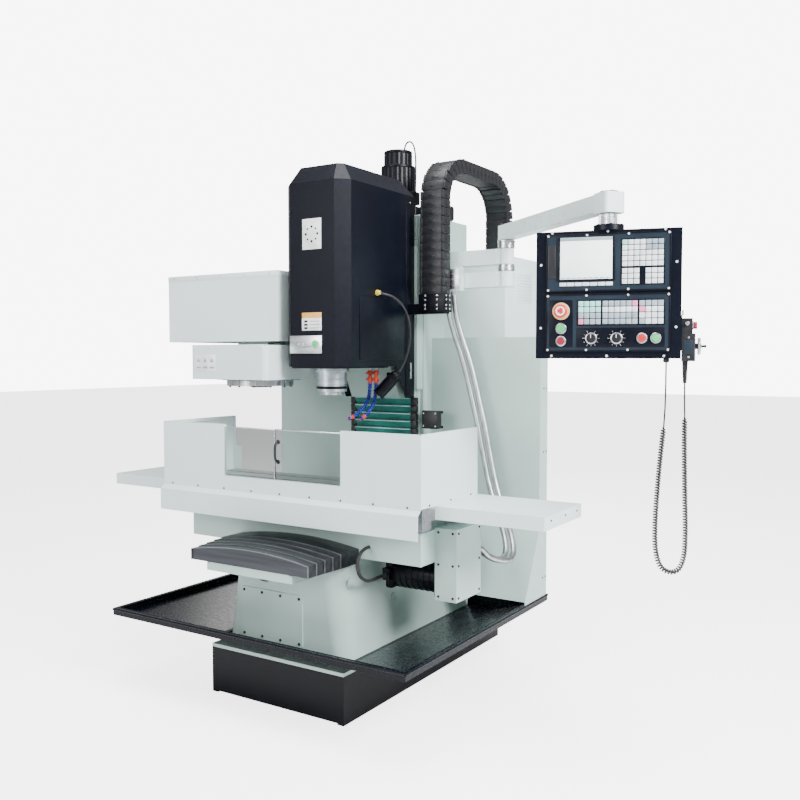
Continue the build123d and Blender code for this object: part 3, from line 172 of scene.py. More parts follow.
# ---- materials -------------------------------------------------------------------------------------
class Finish:
    """A procedural material on object coordinates, built up step by step."""

    def __init__(self, name, color, roughness, metallic=0.0):
        self.material = bpy.data.materials.new(name)
        self.material.use_nodes = True
        self.nodes = self.material.node_tree.nodes
        self.links = self.material.node_tree.links
        self.shader = self.nodes["Principled BSDF"]
        self.shader.inputs["Base Color"].default_value = (*color, 1)
        self.shader.inputs["Roughness"].default_value = roughness
        self.shader.inputs["Metallic"].default_value = metallic
        self.coordinates = self.nodes.new("ShaderNodeTexCoord")
        self.normal = None

    def set(self, **values):
        for name, value in values.items():
            socket = name.replace("_", " ").title().replace("Ior", "IOR")
            self.shader.inputs[socket].default_value = value
        return self

    def noise(self, scale, detail=3.0, stretch=(1, 1, 1), turn=(0, 0, 0)):
        mapping = self.nodes.new("ShaderNodeMapping")
        mapping.inputs["Scale"].default_value = stretch
        mapping.inputs["Rotation"].default_value = turn
        texture = self.nodes.new("ShaderNodeTexNoise")
        texture.inputs["Scale"].default_value = scale
        texture.inputs["Detail"].default_value = detail
        self.links.new(self.coordinates.outputs["Object"], mapping.inputs["Vector"])
        self.links.new(mapping.outputs["Vector"], texture.inputs["Vector"])
        return texture.outputs["Fac"]

    def tone(self, dark, light, scale, low=0.35, high=0.65, **shape):
        ramp = self.nodes.new("ShaderNodeValToRGB")
        ramp.color_ramp.elements[0].position = low
        ramp.color_ramp.elements[0].color = (*dark, 1)
        ramp.color_ramp.elements[1].position = high
        ramp.color_ramp.elements[1].color = (*light, 1)
        self.links.new(self.noise(scale, **shape), ramp.inputs["Fac"])
        self.links.new(ramp.outputs["Color"], self.shader.inputs["Base Color"])
        return self

    def shine(self, low, high, scale, **shape):
        span = self.nodes.new("ShaderNodeMapRange")
        span.inputs["From Min"].default_value = 0.3
        span.inputs["From Max"].default_value = 0.7
        span.inputs["To Min"].default_value = low
        span.inputs["To Max"].default_value = high
        self.links.new(self.noise(scale, **shape), span.inputs["Value"])
        self.links.new(span.outputs["Result"], self.shader.inputs["Roughness"])
        return self

    def soft_edges(self, radius):
        edge = self.nodes.new("ShaderNodeBevel")
        edge.samples = 4
        edge.inputs["Radius"].default_value = radius
        self.normal = edge.outputs["Normal"]
        self.links.new(self.normal, self.shader.inputs["Normal"])
        return self

    def relief(self, scale, strength, distance=0.001, **shape):
        bump = self.nodes.new("ShaderNodeBump")
        bump.inputs["Strength"].default_value = strength
        bump.inputs["Distance"].default_value = distance
        self.links.new(self.noise(scale, **shape), bump.inputs["Height"])
        if self.normal:
            self.links.new(self.normal, bump.inputs["Normal"])
        self.normal = bump.outputs["Normal"]
        self.links.new(self.normal, self.shader.inputs["Normal"])
        return self


def shade(color, factor):
    return tuple(min(1.0, c * factor) for c in color)


def enamel(name, color, roughness=0.34, edge=0.0022):
    """Brushed and sprayed enamel on filled castings: broad unevenness and fine orange peel."""
    finish = Finish(name, color, roughness).soft_edges(edge)
    finish.tone(shade(color, 0.93), shade(color, 1.03), 3.2, detail=5)
    finish.shine(roughness - 0.06, roughness + 0.10, 11, detail=4)
    return finish.relief(9, 0.10, 0.002).relief(420, 0.09, 0.0004).material


def powder_coat(name, color, roughness=0.38, edge=0.0012):
    """Powder coat on folded sheet: flat panels with a fine even texture."""
    finish = Finish(name, color, roughness).soft_edges(edge)
    finish.tone(shade(color, 0.965), shade(color, 1.02), 1.6, detail=6)
    finish.shine(roughness - 0.05, roughness + 0.07, 22, detail=3)
    return finish.relief(700, 0.07, 0.0003).material


def wrinkle_coat(name, color, roughness, strength=0.18, edge=0.0018):
    """Dark textured coat with a slight sheen."""
    finish = Finish(name, color, roughness).soft_edges(edge).set(specular_ior_level=0.18)
    finish.tone(shade(color, 0.85), shade(color, 1.2), 9, detail=6)
    finish.shine(roughness - 0.04, roughness + 0.05, 70, detail=4)
    return finish.relief(600, strength, 0.0004).material


def brushed(name, color, roughness, stretch, edge=0.0010):
    """Metal with fine straight marks along one direction."""
    finish = Finish(name, color, roughness, 1.0).soft_edges(edge)
    finish.tone(shade(color, 0.82), shade(color, 1.12), 60, detail=6, stretch=stretch)
    finish.shine(roughness - 0.08, roughness + 0.14, 80, detail=5, stretch=stretch)
    return finish.relief(240, 0.10, 0.0003, stretch=stretch).material


def moulded(name, color, roughness, coat=0.0):
    """Moulded plastic with a light grain."""
    finish = Finish(name, color, roughness).set(coat_weight=coat, coat_roughness=0.12)
    finish.tone(shade(color, 0.88), shade(color, 1.10), 25, detail=4)
    finish.shine(max(0.05, roughness - 0.05), roughness + 0.08, 60)
    return finish.relief(900, 0.06, 0.0002).material


def jacket(name, color):
    """Rubber jacket of a cord."""
    finish = Finish(name, color, 0.45).set(sheen_weight=0.15)
    finish.tone(shade(color, 0.8), shade(color, 1.3), 90, detail=3)
    finish.shine(0.38, 0.58, 140)
    return finish.relief(1200, 0.12, 0.0002).material


def pleated_cloth(name, color):
    """Coated cloth of the bellows, with a fine weave and wiped-on oil."""
    finish = Finish(name, color, 0.42).set(sheen_weight=0.1)
    finish.tone(shade(color, 0.7), shade(color, 1.35), 14, detail=6, stretch=(0.5, 1, 1.6))
    finish.shine(0.30, 0.55, 20)
    return finish.relief(1500, 0.20, 0.0003, stretch=(1, 1, 0.4)).material


def clear_sheet(name):
    """Clear polycarbonate, a little hazed."""
    finish = Finish(name, (0.93, 0.98, 0.97), 0.04).set(transmission_weight=1.0, ior=1.45)
    finish.shine(0.02, 0.07, 8)
    return finish.material


def lit_screen(name):
    """Switched-on display: nearly white, with a faint tint that drifts over it."""
    finish = Finish(name, (0.85, 0.97, 1.0), 0.25)
    finish.tone((0.72, 0.93, 0.97), (0.98, 1.0, 1.0), 6, low=0.3, high=0.55)
    finish.set(emission_color=(0.93, 0.99, 1.0, 1), emission_strength=0.75)
    return finish.material


FINISHES = {}


def make_finishes():
    colors = paint()
    FINISHES.update({
        "casting": enamel("casting_enamel", colors.casting),
        "sheet": powder_coat("sheet_powder_coat", colors.sheet),
        "arm": powder_coat("arm_enamel", shade(colors.sheet, 0.97), 0.30, 0.003),
        "head": wrinkle_coat("head_coat", colors.head, 0.36),
        "panel": wrinkle_coat("panel_coat", shade(colors.head, 1.15), 0.33, 0.08),
        "overlay": wrinkle_coat("overlay_film", (0.012, 0.020, 0.030), 0.42, 0.10, 0.0006),
        "black": wrinkle_coat("black_enamel", (0.0022, 0.0026, 0.0055), 0.34, 0.08),
        "tray": wrinkle_coat("tray_enamel", (0.0025, 0.0035, 0.007), 0.26, 0.02),
        "steel": brushed("ground_steel", (0.62, 0.64, 0.67), 0.26, (1, 1, 0.06)),
        "sleeve": brushed("sleeve_steel", (0.50, 0.57, 0.62), 0.34, (0.08, 0.08, 1)),
        "table": brushed("milled_iron", (0.36, 0.37, 0.39), 0.34, (0.05, 1, 1)),
        "cover": brushed("cover_sheet_steel", (0.075, 0.08, 0.09), 0.40, (0.04, 1, 1)),
        "wiper": brushed("wiper_edge", (0.24, 0.25, 0.27), 0.34, (0.05, 1, 1)),
        "silver": brushed("satin_silver", (0.70, 0.72, 0.74), 0.28, (0.1, 1, 1), 0.0004),
        "conduit": brushed("conduit_steel", (0.58, 0.60, 0.62), 0.36, (1, 1, 0.3), 0.0003),
        "nylon": moulded("black_nylon", (0.006, 0.0065, 0.009), 0.42),
        "rubber": jacket("black_jacket", (0.012, 0.012, 0.014)),
        "bellows": pleated_cloth("bellows_cloth", colors.bellows),
        # The light colour of the strips on the bellows crests is a painted highlight.
        "painted_highlight": pleated_cloth("bellows_painted_highlight", (0.36, 0.62, 0.58)),
        "pane": clear_sheet("clear_pane"),
        "screen": lit_screen("lit_screen"),
        "hose": moulded("hose_blue", (0.008, 0.014, 0.30), 0.30, 0.3),
        "valve": moulded("valve_orange", (0.80, 0.07, 0.03), 0.30, 0.4),
        "red": moulded("button_red", (0.60, 0.015, 0.02), 0.25, 0.5),
        "dark_red": moulded("button_dark_red", (0.28, 0.01, 0.03), 0.28, 0.5),
        "green": moulded("button_green", (0.03, 0.55, 0.14), 0.28, 0.5),
        "yellow": moulded("gland_yellow", (0.75, 0.58, 0.06), 0.35),
        "amber": moulded("ring_amber", (0.72, 0.42, 0.16), 0.35),
        "key": moulded("key_white", (0.74, 0.80, 0.82), 0.40),
        "grey_key": moulded("key_grey", (0.30, 0.37, 0.41), 0.42),
        "teal_key": moulded("key_teal", (0.35, 0.72, 0.68), 0.40),
        "pink_key": moulded("key_pink", (0.85, 0.22, 0.42), 0.40),
        "label": moulded("label_white", (0.82, 0.84, 0.84), 0.45),
        "orange_label": moulded("label_orange", (0.85, 0.42, 0.08), 0.45),
        "dark": moulded("dark_gap", (0.004, 0.004, 0.005), 0.7),
    })


NODE_FINISH = {
    "plinth": "black", "base_casting": "casting", "access_panel": "casting", "chip_tray": "tray",
    "y_servo_motor": "black", "column": "casting", "rear_splash_guard": "casting",
    "electrical_cabinet": "sheet", "cabinet_door": "sheet", "magazine_bracket": "black",
    "magazine_cover": "sheet", "arm_bracket": "arm", "y_ball_screw": "steel", "x_ball_screw": "steel",
    "z_ball_screw": "steel", "saddle": "casting", "x_servo_motor": "black", "x_drive_cover": "casting",
    "table": "table", "table_guard": "sheet", "guard_window_left": "pane", "guard_window_right": "pane",
    "wing_shelves": "sheet", "head_casting": "casting", "head_cover": "head", "chain_bracket": "black",
    "spindle_motor": "black", "spindle_housing": "sleeve", "spindle": "steel",
    "tool_release_button": "green", "carousel_housing": "sheet", "carousel": "steel", "swing_arm": "arm",
    "panel_housing": "panel", "control_units": "overlay", "pendant_body": "nylon",
    "pendant_selector": "dark_red", "e_stop_button": "red", "start_button": "green",
    "stop_button": "dark_red", "feed_knob": "nylon", "spindle_knob": "nylon",
    "y_cover_stage_0": "cover", "y_cover_stage_1": "cover", "y_cover_stage_2": "cover",
    "y_cover_stage_3": "cover", "y_cover_stage_4": "cover",
}


# ---- mesh helpers ----------------------------------------------------------------------------------
def place(x, y, z):
    return Vector((x, y, z)) * MM


def linked_edges(verts):
    return list({edge for vert in verts for edge in vert.link_edges})


def add_box(bm, x0, x1, y0, y1, z0, z1, bevel=0.0, segments=2, where=HERE):
    """Box between two corners given in millimetres, with rounded edges."""
    centre = Matrix.Translation(place((x0 + x1) / 2, (y0 + y1) / 2, (z0 + z1) / 2))
    size = Matrix.Diagonal((abs(x1 - x0) * MM, abs(y1 - y0) * MM, abs(z1 - z0) * MM, 1))
    made = bmesh.ops.create_cube(bm, size=1.0, matrix=centre @ size)
    verts = made["verts"]
    if bevel:
        result = bmesh.ops.bevel(bm, geom=linked_edges(verts), offset=bevel * MM, offset_type="OFFSET",
                                 segments=segments, profile=0.5, affect="EDGES", material=-1,
                                 clamp_overlap=True)
        verts = result["verts"]
    bmesh.ops.transform(bm, matrix=where, verts=verts)


def along(start, end):
    """Matrix that takes the Z axis from the origin to a line between two points in millimetres."""
    a = place(*start)
    b = place(*end)
    middle = Matrix.Translation((a + b) / 2)
    return middle @ (b - a).to_track_quat("Z", "Y").to_matrix().to_4x4(), (b - a).length


def add_rod(bm, radius, start, end, tip=None, segments=32, bevel=0.0, where=HERE):
    """Cylinder or cone between two points, radii in millimetres."""
    turn, length = along(start, end)
    tip = radius if tip is None else tip
    made = bmesh.ops.create_cone(bm, cap_ends=True, segments=segments, radius1=radius * MM,
                                 radius2=tip * MM, depth=length, matrix=turn)
    verts = made["verts"]
    if bevel:
        rims = [e for e in linked_edges(verts) if any(len(f.verts) > 4 for f in e.link_faces)]
        result = bmesh.ops.bevel(bm, geom=rims, offset=bevel * MM, offset_type="OFFSET", segments=2,
                                 profile=0.5, affect="EDGES", material=-1, clamp_overlap=True)
        verts = list({*result["verts"], *(v for v in verts if v.is_valid)})
    bmesh.ops.transform(bm, matrix=where, verts=verts)


def add_lathe(bm, outline, start, end, steps=40, where=HERE):
    """Turned shape: (radius, height) points in millimetres, spun about the line from start to end."""
    turn, length = along(start, end)
    base = turn @ Matrix.Translation((0, 0, -length / 2))
    ring = [bm.verts.new((radius * MM, 0, height * MM)) for radius, height in outline]
    edges = [bm.edges.new(pair) for pair in zip(ring, ring[1:])]
    known = set(bm.verts) - set(ring)
    bmesh.ops.spin(bm, geom=ring + edges, cent=(0, 0, 0), axis=(0, 0, 1), dvec=(0, 0, 0),
                   angle=2 * math.pi, steps=steps, use_merge=True, use_duplicate=False)
    made = [v for v in bm.verts if v not in known]
    bmesh.ops.remove_doubles(bm, verts=made, dist=1e-6)
    made = [v for v in bm.verts if v not in known]
    bmesh.ops.transform(bm, matrix=where @ base, verts=made)


def add_fluted(bm, radius, depth, flutes, start, end, where=HERE):
    """Cylinder with straight flutes round it."""
    turn, length = along(start, end)
    made = bmesh.ops.create_cone(bm, cap_ends=True, segments=flutes * 2, radius1=radius * MM,
                                 radius2=radius * MM, depth=length)
    for vert in made["verts"]:
        step = round(math.atan2(vert.co.y, vert.co.x) / (math.pi / flutes))
        if step % 2:
            factor = (radius - depth) / radius
            vert.co.x *= factor
            vert.co.y *= factor
    bmesh.ops.transform(bm, matrix=where @ turn, verts=made["verts"])


def add_screw(bm, point, facing, radius=None, where=HERE):
    """Socket screw head seated on a face, with its axis along facing."""
    r = (radius or fittings().screw) / MM
    head = (Vector(point), Vector(point) + Vector(facing).normalized() * r * 0.55)
    add_lathe(bm, ((0, 0), (r, 0), (r, r * 0.38), (r * 0.8, r * 0.55), (r * 0.45, r * 0.55),
                   (r * 0.45, r * 0.2), (0, r * 0.2)), head[0], head[1], 12, where)


def finish_piece(bm, name, body, finish, replaces=(), angle=35):
    """Write the bmesh to an object that rides on a body."""
    bmesh.ops.recalc_face_normals(bm, faces=bm.faces)
    limit = math.radians(angle)
    for face in bm.faces:
        face.smooth = True
    for edge in bm.edges:
        edge.smooth = not (edge.is_manifold and edge.calc_face_angle(0) > limit)
    mesh = bpy.data.meshes.new(name)
    bm.to_mesh(mesh)
    bm.free()
    piece = bpy.data.objects.new(name, mesh)
    bpy.context.scene.collection.objects.link(piece)
    mesh.materials.append(FINISHES[finish])
    if replaces:
        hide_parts(*replaces)
    if body:
        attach(piece, body)
    return piece


# ---- cords -----------------------------------------------------------------------------------------
def curve_object(name, points, radius=0.0, resolution=6):
    """One open smooth spline through the pull of its points, with a round section."""
    curve = bpy.data.curves.new(name, "CURVE")
    curve.dimensions = "3D"
    curve.resolution_u = resolution
    curve.bevel_depth = radius
    curve.bevel_resolution = 3
    curve.use_fill_caps = True
    spline = curve.splines.new("NURBS")
    spline.points.add(len(points) - 1)
    for knot, point in zip(spline.points, points):
        knot.co = (*point, 1)
    spline.order_u = 3
    spline.use_endpoint_u = True
    piece = bpy.data.objects.new(name, curve)
    bpy.context.scene.collection.objects.link(piece)
    return piece


def path_of(points, resolution=12):
    """Points along the smooth spline of a route."""
    guide = curve_object("guide", points, 0.0, resolution)
    bpy.context.view_layer.update()
    mesh = bpy.data.meshes.new_from_object(guide)
    path = [vert.co.copy() for vert in mesh.vertices]
    bpy.data.meshes.remove(mesh)
    bpy.data.objects.remove(guide)
    return path


def frames_along(path, step):
    """Evenly spaced places on a path: (point, two directions across it, distance)."""
    places = []
    side = Vector((1, 0, 0))
    travelled = 0.0
    wanted = 0.0
    for a, b in zip(path, path[1:]):
        run = (b - a).length
        ahead = (b - a).normalized()
        side = (side - ahead * side.dot(ahead)).normalized()
        while wanted <= travelled + run:
            places.append((a + ahead * (wanted - travelled), side.copy(), ahead.cross(side), wanted))
            wanted += step
        travelled += run
    return places


def cord_piece(name, points, radius, body, node):
    """Rubber-jacketed cord that stands for a node of the frame."""
    piece = curve_object(name, points, radius)
    piece.data.materials.append(FINISHES["rubber"])
    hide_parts(node)
    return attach(piece, body)


def tube_piece(name, points, radius):
    """Round tube as a mesh along a smooth route."""
    guide = curve_object("guide", points, radius, 2)
    guide.data.bevel_resolution = 2
    bpy.context.view_layer.update()
    mesh = bpy.data.meshes.new_from_object(guide)
    mesh.name = name
    mesh.polygons.foreach_set("use_smooth", [True] * len(mesh.polygons))
    bpy.data.objects.remove(guide)
    piece = bpy.data.objects.new(name, mesh)
    bpy.context.scene.collection.objects.link(piece)
    return piece


def pendant_points():
    """Plain lead, curly stretch and plain lead of the pendant's cord, in metres."""
    route = [PANEL @ place(*p) for p in PENDANT_ROUTE]
    sizes = fittings()
    radius = (sizes.coil - sizes.cord) / 2
    path = path_of(route[COIL_FIRST:COIL_LAST + 1])
    steps_per_turn = 12
    spots = frames_along(path, sizes.coil_pitch / steps_per_turn)
    total = spots[-1][3]
    ramp = sizes.coil_pitch * 1.5
    helix = []
    for number, (centre, side, across, distance) in enumerate(spots):
        angle = 2 * math.pi * number / steps_per_turn
        swell = min(1.0, distance / ramp, (total - distance) / ramp)
        helix.append(centre + (side * math.cos(angle) + across * math.sin(angle)) * radius * swell)
    return route[:COIL_FIRST] + helix + route[COIL_LAST + 1:], route


def corrugated(points, radius, pitch):
    """Mesh of a tube with rounded ribs along a smooth route, and the route."""
    path = path_of(points)
    bm = bmesh.new()
    around = 14
    previous = None
    for number, (centre, side, across, _) in enumerate(frames_along(path, pitch / 2)):
        size = radius if number % 2 else radius * 0.86
        ring = [bm.verts.new(centre + (side * math.cos(t) + across * math.sin(t)) * size)
                for t in (2 * math.pi * k / around for k in range(around))]
        loop = [bm.edges.new((ring[k - 1], ring[k])) for k in range(around)]
        if previous:
            bmesh.ops.bridge_loops(bm, edges=previous + loop)
        else:
            bmesh.ops.contextual_create(bm, geom=loop)
        previous = loop
    bmesh.ops.contextual_create(bm, geom=previous)
    return bm, path


class BuildCords(bpy.types.Operator):
    """Pendant cord, lamp and motor cables and the two corrugated conduits"""
    bl_idname = "mill.cords"
    bl_label = "Cords and conduits"

    def execute(self, context):
        points, route = pendant_points()
        sizes = fittings()
        cord = tube_piece("pendant_cord_curl", points, sizes.cord / 2)
        cord.data.materials.append(FINISHES["rubber"])
        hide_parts("pendant_cord", "pendant_cord_coil")
        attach(cord, "panel")
        path_of(points, 3)
        for name, run, radius, body, node, length in (
                ("lamp_lead", LAMP_ROUTE, 4.5, "head", "lamp_cable", 0.466),
                ("z_motor_lead", Z_MOTOR_ROUTE, 4, "machine_frame", "z_motor_cable", 0.42),
                ("x_motor_lead", X_MOTOR_ROUTE, 7, "saddle", "x_motor_cable", 0.335)):
            lead = cord_piece(name, [place(*p) for p in run], radius * MM, body, node)
        for side, x, x_end, low in (("left", 326, 622, 652), ("right", 360, 656, 635)):
            run = [place(*p) for p in conduit_route(x, x_end, low)]
            bm, path = corrugated(run, CONDUIT_DIAMETER / 2, 7 * MM)
            tube = finish_piece(bm, f"conduit_{side}", None, "conduit",
                                ("cable_conduits",), 80)
            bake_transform(tube)
        return {"FINISHED"}


# ---- castings, sheet metal and head ------------------------------------------------------------------
class PaintFrame(bpy.types.Operator):
    """Finishes of the castings, sheet metal and machined pieces that the frame brings"""
    bl_idname = "mill.paint_frame"
    bl_label = "Frame finishes"

    def execute(self, context):
        for name, finish in NODE_FINISH.items():
            mesh = frame["nodes"][name].data
            mesh.materials.clear()
            mesh.materials.append(FINISHES[finish])
        return {"FINISHED"}


class BuildHeadTrim(bpy.types.Operator):
    """Plates, screws and gland on the head cover"""
    bl_idname = "mill.head_trim"
    bl_label = "Head trim"

    def execute(self, context):
        low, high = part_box("head_cover")
        front = low.y / MM + 4
        side = high.x / MM
        bm = bmesh.new()
        x, z = RELEASE
        add_box(bm, x - 136, x + 32, front - 5, front - 3.6, z - 37, z + 37, 0.6)
        finish_piece(bm, "release_plate", "head", "silver")
        bm = bmesh.new()
        add_lathe(bm, ((13.6, 0), (18, 0), (18, 4), (15.5, 6), (13.6, 6), (13.6, 0)),
                  (x, front - 4.5, z), (x, front - 9, z))
        for k in range(3):
            add_box(bm, x - 100 + 22 * k, x - 86 + 22 * k, front - 6, front - 4.5, z - 4, z + 4, 0.4)
        finish_piece(bm, "release_bezel", "head", "sleeve")
        bm = bmesh.new()
        add_box(bm, -48, 50, front - 1, front + 0.2, 1842, 1968, 0.4)
        add_box(bm, -52, 50, front - 1, front + 0.2, 1508, 1560, 0.4)
        finish_piece(bm, "head_plates", "head", "label")
        bm = bmesh.new()
        add_box(bm, -52, 50, front - 1, front + 0.2, 1560.5, 1582, 0.4)
        finish_piece(bm, "head_plate_band", "head", "orange_label")
        bm = bmesh.new()
        for k in range(8):
            turn = math.pi * k / 4
            across = 1 + 30 * math.cos(turn)
            up = 1905 + 30 * math.sin(turn)
            add_rod(bm, 4.2 if k % 2 else 5.4, (across, front - 1.6, up), (across, front - 0.8, up),
                    segments=16)
        for z in (1518, 1532, 1546):
            add_box(bm, -40, -22, front - 1.6, front - 0.8, z - 4, z + 4, 0.3)
            add_box(bm, -10, 40, front - 1.4, front - 0.8, z - 1, z + 1)
        finish_piece(bm, "head_plate_marks", "head", "dark")
        bm = bmesh.new()
        for y, z in ((-262, 1618), (20, 1618), (-262, 1415), (20, 1415), (96, 2090), (96, 1930), (96, 1760),
                     (96, 1640), (96, 1560), (96, 1400), (96, 1290)):
            for sign in (-1, 1):
                add_screw(bm, (sign * side, y, z), (sign, 0, 0))
        finish_piece(bm, "head_screws", "head", "silver")
        bm = bmesh.new()
        for sign in (-1, 1):
            add_box(bm, sign * side, sign * (side + 2.5), 60, 131, 1225, 2085, 1.2)
            add_box(bm, sign * side, sign * (side + 2.5), -300, 40, 1385, 1650, 1.2)
        add_box(bm, -side + 12, side - 12, 118, 131, 2085, 2112, 3)
        finish_piece(bm, "head_side_covers", "head", "head")
        bm = bmesh.new()
        add_rod(bm, 12.5, (side + 2.5, -178, 1671), (side + 8, -178, 1671), segments=6, bevel=1)
        add_lathe(bm, ((4.6, 0), (11, 0), (11, 6), (8, 14), (4.6, 16), (4.6, 0)), (side + 8, -178, 1671),
                  (side + 30, -178, 1671))
        finish_piece(bm, "lamp_gland", "head", "yellow")
        bm = bmesh.new()
        for k in range(8):
            turn = math.pi * (k + 0.5) / 4
            add_screw(bm, (69 * math.cos(turn), SPINDLE_Y + 69 * math.sin(turn), 1335), (0, 0, -1), 0.0050)
        finish_piece(bm, "sleeve_screws", "head", "silver")
        bm = bmesh.new()
        add_lathe(bm, ((64, 0), (67, 2), (67, 10), (64, 12), (64, 0)), (0, SPINDLE_Y, 1262),
                  (0, SPINDLE_Y, 1300))
        add_box(bm, -120, 120, -396, 50, 1350, 1362.5, 3)
        finish_piece(bm, "head_base_plate", "head", "black")
        bm = bmesh.new()
        add_box(bm, side + 2.6, side + 5, 92, 104, 1300, 1372, 0.8)
        add_box(bm, 170, 240, 78, 118, 1592, 1632, 2)
        finish_piece(bm, "scale_strip", "head", "silver")
        return {"FINISHED"}


class BuildNozzles(bpy.types.Operator):
    """Coolant valves and segmented hoses"""
    bl_idname = "mill.nozzles"
    bl_label = "Coolant nozzles"

    def execute(self, context):
        hoses = (((52, -58, 1283), (52, -60, 1222), (34, -84, 1168), (4, -108, 1136), (-20, -128, 1120)),
                 ((84, -58, 1283), (86, -62, 1214), (74, -92, 1160), (58, -118, 1134), (47, -137, 1118)))
        valves = bmesh.new()
        links = bmesh.new()
        tips = bmesh.new()
        nipples = bmesh.new()
        for number, hose in enumerate(hoses):
            x, y, z = hose[0]
            add_lathe(valves, ((0, 0), (9, 0), (11, 4), (11, 22), (8, 26), (8, 34), (12, 37), (12, 52),
                               (9, 56), (0, 56)), (x, y, z), (x, y, z + 56), 20)
            add_rod(valves, 4.5, (x - 20, y - 2, z + 15), (x + 17, y - 2, z + 15), segments=16, bevel=1)
            add_box(valves, x - 14, x + 8, y - 17, y - 11, z + 40, z + 47, 1.5)
            add_lathe(nipples, ((0, 0), (7, 0), (7, 8), (10, 10), (10, 18), (6, 20), (6, 24), (0, 24)),
                      (x, y, 1338), (x, y, 1362), 16)
            path = path_of([place(*p) for p in hose])
            spots = frames_along(path, 13.5 * MM)
            for (a, *_), (b, *_) in zip(spots[:-1], spots[1:]):
                start = a / MM
                end = b / MM
                add_lathe(links, ((0, 0), (6.2, 0), (8.6, 3), (9.2, 7), (8.2, 11), (6.4, 13.5), (0, 13.5)),
                          start, end, 18)
            a = spots[-3][0] / MM
            b = spots[-1][0] / MM
            add_lathe(tips, ((0, 0), (9.6, 0), (9.6, 9), (6, 16), (4.5, 31), (2.2, 31), (2.2, 22), (0, 22)),
                      a, b, 18)
        finish_piece(valves, "coolant_valves", "head", "valve")
        finish_piece(nipples, "coolant_nipples", "head", "silver")
        finish_piece(links, "coolant_links", "head", "hose", ("coolant_nozzles",), 60)
        finish_piece(tips, "coolant_tips", "head", "valve")
        return {"FINISHED"}


class BuildWorkLamp(bpy.types.Operator):
    """Cylindrical work lamp with its bracket and lens"""
    bl_idname = "mill.work_lamp"
    bl_label = "Work lamp"

    def execute(self, context):
        rear = (182, -20.7, 1332.3)
        front = (112, -86, 1232)
        length = (Vector(front) - Vector(rear)).length
        bm = bmesh.new()
        add_lathe(bm, ((0, 0), (7, 0), (9, 3), (9, 9), (18, 12), (24, 17), (26, 24), (26, 34), (24.5, 35),
                       (24.5, 38), (26, 39), (26, 44), (24.5, 45), (24.5, 48), (26, 49), (27, 60),
                       (27, length - 12), (28.5, length - 10), (28.5, length), (25, length),
                       (25, length - 5), (0, length - 5)), rear, front, 40)
        add_box(bm, 130, 163, -45, -15, 1290, 1330, 3)
        add_box(bm, 118, 170, -52, -22, 1286, 1294, 2)
        finish_piece(bm, "lamp_body", "head", "black", ("work_lamp",))
        bm = bmesh.new()
        back = Vector(front) + (Vector(rear) - Vector(front)).normalized() * 4.5
        add_lathe(bm, ((0, 0), (24.6, 0), (24.6, 1.5), (16, 3.2), (0, 3.8)), back, front, 32)
        finish_piece(bm, "lamp_lens", "head", "pane")
        return {"FINISHED"}


class BuildBellows(bpy.types.Operator):
    """Pleated cover over the Z ways, with painted highlights as light strips on the crests, and dark borders
    """
    bl_idname = "mill.bellows"
    bl_label = "Z way bellows"

    def execute(self, context):
        low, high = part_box("z_way_bellows")
        half = high.x
        deep = high.y - 0.002
        crest = low.y
        pleats = round((high.z - low.z) / fittings().pleat)
        pitch = (high.z - low.z) / pleats
        cloth = bmesh.new()
        painted_crest_highlights = bmesh.new()
        line = []
        for k in range(pleats):
            base = low.z + k * pitch
            line += [(deep, base), (deep - 0.010, base + 0.10 * pitch), (crest + 0.003, base + 0.78 * pitch),
                     (crest, base + 0.86 * pitch), (crest + 0.003, base + 0.94 * pitch)]
            # Light strip on each pleat crest: a painted highlight.
            add_box(painted_crest_highlights, -half / MM + 1, half / MM - 1, crest / MM - 1.5, crest / MM + 3,
                    (base + 0.80 * pitch) / MM, (base + 0.92 * pitch) / MM, 1.2)
        line.append((deep, high.z))
        verts = [cloth.verts.new((-half, y, z)) for y, z in line]
        edges = [cloth.edges.new(pair) for pair in zip(verts, verts[1:])]
        made = bmesh.ops.extrude_edge_only(cloth, edges=edges)
        moved = [g for g in made["geom"] if isinstance(g, bmesh.types.BMVert)]
        bmesh.ops.translate(cloth, vec=(2 * half, 0, 0), verts=moved)
        bmesh.ops.recalc_face_normals(cloth, faces=cloth.faces)
        bmesh.ops.solidify(cloth, geom=cloth.faces[:], thickness=0.0015)
        borders = bmesh.new()
        for sign in (-1, 1):
            for k in range(pleats):
                base = (low.z + k * pitch) / MM
                add_box(borders, sign * half / MM, sign * (half / MM + 28), crest / MM + 6, deep / MM + 8,
                        base, base + pitch / MM - 1.2, 2)
        for bm, name, finish, nodes in ((cloth, "bellows_pleats", "bellows", ("z_way_bellows",)),
                                        (painted_crest_highlights, "bellows_painted_highlights", "painted_highlight", ()),
                                        (borders, "bellows_borders", "nylon", ())):
            piece = finish_piece(bm, name, None, finish, nodes)
            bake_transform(piece)
        return {"FINISHED"}


